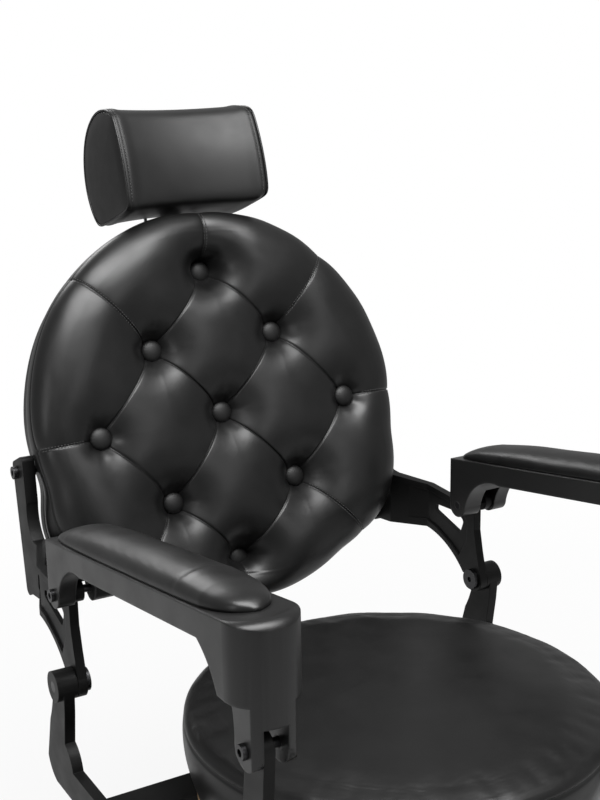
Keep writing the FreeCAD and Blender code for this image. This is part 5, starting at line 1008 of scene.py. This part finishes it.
def pad_grid(side, crisp):
    """Rings of points across the pad, from its places: how far ahead, half its width and its height."""
    places = np.array(PAD_PLACES, float)
    ahead = np.concatenate([np.linspace(5, 60, 32), np.linspace(60, 425, 84)[1:],
                            np.linspace(425, PAD_END, 44)[1:]])
    half = np.interp(ahead, places[:, 0], places[:, 1])
    high = np.interp(ahead, places[:, 0], places[:, 2])
    smooth(half, 40)
    smooth(high, 40)
    turn = np.linspace(-1, 1, PAD_ARC)
    rows = []
    for s, w, tall in zip(ahead, half, high):
        x = w * np.sin(turn * math.pi / 2)
        z = 0.4 + (tall - 0.4) * np.cos(turn * math.pi / 2) ** 0.66
        bend = s + 5 * (turn ** 2)
        if crisp:
            crease = 0.8 * np.exp(-((bend - PAD_CREASE) / 2.2) ** 2)
            z = z - crease + 0.5 * np.exp(-((bend - PAD_CREASE - 7) / 5) ** 2)
        z = z + 0.25 * np.sin(s * 0.055 + turn)
        under_x = np.linspace(w * 0.96, -w * 0.96, 9)
        ring = np.concatenate([on_arm(x, s, np.maximum(z, 0.35), side),
                               on_arm(under_x, s, np.full(9, 0.3), side)])
        rows.append(ring)
    grid = np.array(rows)
    first = np.broadcast_to(grid[0].mean(0), grid[0].shape)[None]
    last = np.broadcast_to(grid[-1].mean(0), grid[0].shape)[None]
    return np.concatenate([first, grid, last])


def arm_pad(name, side):
    """One pad, whose leather is held along its lower edge and underneath."""
    plain = pad_grid(side, False)
    underside, edge = plain[:, PAD_ARC:], plain[:, (0, PAD_ARC - 1)]
    held = underside.reshape(-1, 3)[::2].tolist() + edge.reshape(-1, 3).tolist()
    give = cloth_give(name + "_cloth", plain, held, 5.0, 2.0, voxel_mm=5.0)
    grid = pad_grid(side, True)
    return skin(name, grid + give(grid))


right_pad = arm_pad("right_arm_leather", 1)
left_pad = arm_pad("left_arm_leather", -1)

# %% [markdown]
# ## Where each piece belongs
# A soft piece rides on the body that carries it and stands in for the plain solid of the CAD model, which
# is then hidden.

# %% Ride and replace
for piece, body, nodes in (
        (back_leather, "back", ["back_cushion"]), (covered_buttons, "back", ["back_buttons"]),
        (back_stitches, "back", []), (headrest_leather, "headrest", ["headrest_cushion"]),
        (headrest_piping, "headrest", []), (headrest_stitches, "headrest", []),
        (seat_leather, "seat_carrier", ["seat_cushion"]), (right_pad, "right_arm", ["arm_pad_right"]),
        (left_pad, "left_arm", ["arm_pad_left"])):
    is_thread = "stitches" in piece.name
    if not piece.data.materials:
        piece.data.materials.append(thread_finish if is_thread else finishes["black_leatherette"])
    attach(piece, body)
    if nodes:
        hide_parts(*nodes)

# %% [markdown]
# ## Room, light and camera
# A product picture of a black chair needs a bright room: the leather shows only what it reflects. One
# large soft light hangs above, one behind lets the tops of the cushions shine, small ones fill from the
# front and the left, and the pale floor sends light up from below. The background is white to the
# camera, and mirrored rays see a part of that white, so it sends no extra light onto the chair.

# %% Floor and world
MIRRORED_WHITE = 0.24
FLOOR_HALF = 60


def seen_as_white(tree):
    """A factor that is 1 for rays from the camera or through glass, and less for mirrored rays."""
    rays = tree.nodes.new("ShaderNodeLightPath")
    mirrored = tree.nodes.new("ShaderNodeMath")
    mirrored.operation = "MULTIPLY"
    mirrored.inputs[1].default_value = MIRRORED_WHITE
    tree.links.new(rays.outputs["Is Glossy Ray"], mirrored.inputs[0])
    result = mirrored.outputs[0]
    for name in ("Is Transmission Ray", "Is Camera Ray"):
        larger = tree.nodes.new("ShaderNodeMath")
        larger.operation = "MAXIMUM"
        tree.links.new(rays.outputs[name], larger.inputs[0])
        tree.links.new(result, larger.inputs[1])
        result = larger.outputs[0]
    return result


def make_floor():
    """A pale floor that keeps the chair's shadow and fades to plain white around it."""
    mesh = bpy.data.meshes.new("floor")
    corners = [(FLOOR_HALF * x, FLOOR_HALF * y, 0) for x, y in ((-1, -1), (1, -1), (1, 1), (-1, 1))]
    mesh.from_pydata(corners, [], [(0, 1, 2, 3)])
    floor = new_piece("floor", mesh)
    material, tree, shader, place = new_finish("white floor", (0.6, 0.6, 0.6), 0.9)
    glow = tree.nodes.new("ShaderNodeEmission")
    glow.inputs["Strength"].default_value = 1.0
    distance = tree.nodes.new("ShaderNodeVectorMath")
    distance.operation = "LENGTH"
    tree.links.new(place, distance.inputs[0])
    share = spread(tree, distance.outputs["Value"], 0.9, 1.0, 0.8, 2.6)
    factor = tree.nodes.new("ShaderNodeMath")
    factor.operation = "MULTIPLY"
    tree.links.new(seen_as_white(tree), factor.inputs[0])
    tree.links.new(share, factor.inputs[1])
    blend = tree.nodes.new("ShaderNodeMixShader")
    tree.links.new(factor.outputs[0], blend.inputs["Fac"])
    tree.links.new(shader.outputs["BSDF"], blend.inputs[1])
    tree.links.new(glow.outputs["Emission"], blend.inputs[2])
    tree.links.new(blend.outputs["Shader"], tree.nodes["Material Output"].inputs["Surface"])
    floor.data.materials.append(material)


def make_world():
    """Dim, even light from all round, and plain white where the camera looks past the floor."""
    world = bpy.data.worlds.new("studio")
    world.use_nodes = True
    bpy.context.scene.world = world
    tree = world.node_tree
    dim = tree.nodes["Background"]
    dim.inputs["Color"].default_value = (1, 1, 1, 1)
    dim.inputs["Strength"].default_value = 0.16
    white = tree.nodes.new("ShaderNodeBackground")
    white.inputs["Color"].default_value = (1, 1, 1, 1)
    blend = tree.nodes.new("ShaderNodeMixShader")
    tree.links.new(seen_as_white(tree), blend.inputs["Fac"])
    tree.links.new(dim.outputs["Background"], blend.inputs[1])
    tree.links.new(white.outputs["Background"], blend.inputs[2])
    tree.links.new(blend.outputs["Shader"], tree.nodes["World Output"].inputs["Surface"])


make_floor()
make_world()

# %% [markdown]
# The lights are rectangles that point at the chair. Their size matters more than their power, because
# their shapes are what the leather mirrors. The large one hangs overhead, so that faces that look up are
# light and faces that look down stay black, which is what makes a black chair readable.

# %% Softboxes
def softbox(name, place, target, size, power):
    """A rectangle of light that points at a target."""
    light = bpy.data.lights.new(name, "AREA")
    light.shape = "RECTANGLE"
    light.size, light.size_y = size
    light.energy = power
    lamp = bpy.data.objects.new(name, light)
    lamp.location = place
    lamp.rotation_euler = (Vector(target) - Vector(place)).to_track_quat("-Z", "Y").to_euler()
    bpy.context.collection.objects.link(lamp)


softbox("overhead", (-0.2, -0.6, 2.9), (0, 0.2, 0.7), (2.2, 1.3), 120)
softbox("front", (0.5, -2.8, 2.1), (0, 0.3, 0.9), (1.2, 0.9), 9)
softbox("side left", (-2.6, -0.9, 1.7), (0, 0.2, 0.7), (0.5, 1.4), 8)
softbox("behind", (-0.2, 3.1, 2.6), (-0.3, -0.1, 0.75), (1.6, 1.0), 30)

# %% [markdown]
# The camera stands at the front left, a little above the armrests, and looks down at the back. Its lens
# and lean were worked out from the armrests and buttons in the photograph.

# %% Camera
AIM_POINT, AIM_DISTANCE = (0.048773, 0.306137, 0.834281), 1.766688
FOCAL_PIXELS, PICTURE_HEIGHT = 1279.67, 800.0
SENSOR_MM = 36.0


def aim_camera():
    """Set the camera at its distance from the point it looks at, turned, tipped and leaned."""
    yaw, pitch, roll = 0.528992, 0.245403, -0.0172
    ahead = Vector((math.sin(yaw) * math.cos(pitch), math.cos(yaw) * math.cos(pitch), -math.sin(pitch)))
    right = Vector((math.cos(yaw), -math.sin(yaw), 0))
    up = right.cross(ahead)
    leaned_right = right * math.cos(roll) + up * math.sin(roll)
    leaned_up = up * math.cos(roll) - right * math.sin(roll)
    place = Vector(AIM_POINT) - ahead * AIM_DISTANCE
    camera_data = bpy.data.cameras.new("camera")
    camera_data.sensor_fit = "VERTICAL"
    camera_data.sensor_height = SENSOR_MM
    camera_data.lens = FOCAL_PIXELS * SENSOR_MM / PICTURE_HEIGHT
    camera = bpy.data.objects.new("camera", camera_data)
    turn = Matrix((leaned_right, leaned_up, -ahead)).transposed().to_4x4()
    camera.matrix_world = Matrix.Translation(place) @ turn
    bpy.context.collection.objects.link(camera)
    bpy.context.scene.camera = camera


aim_camera()
bpy.context.scene.view_settings.view_transform = "Standard"
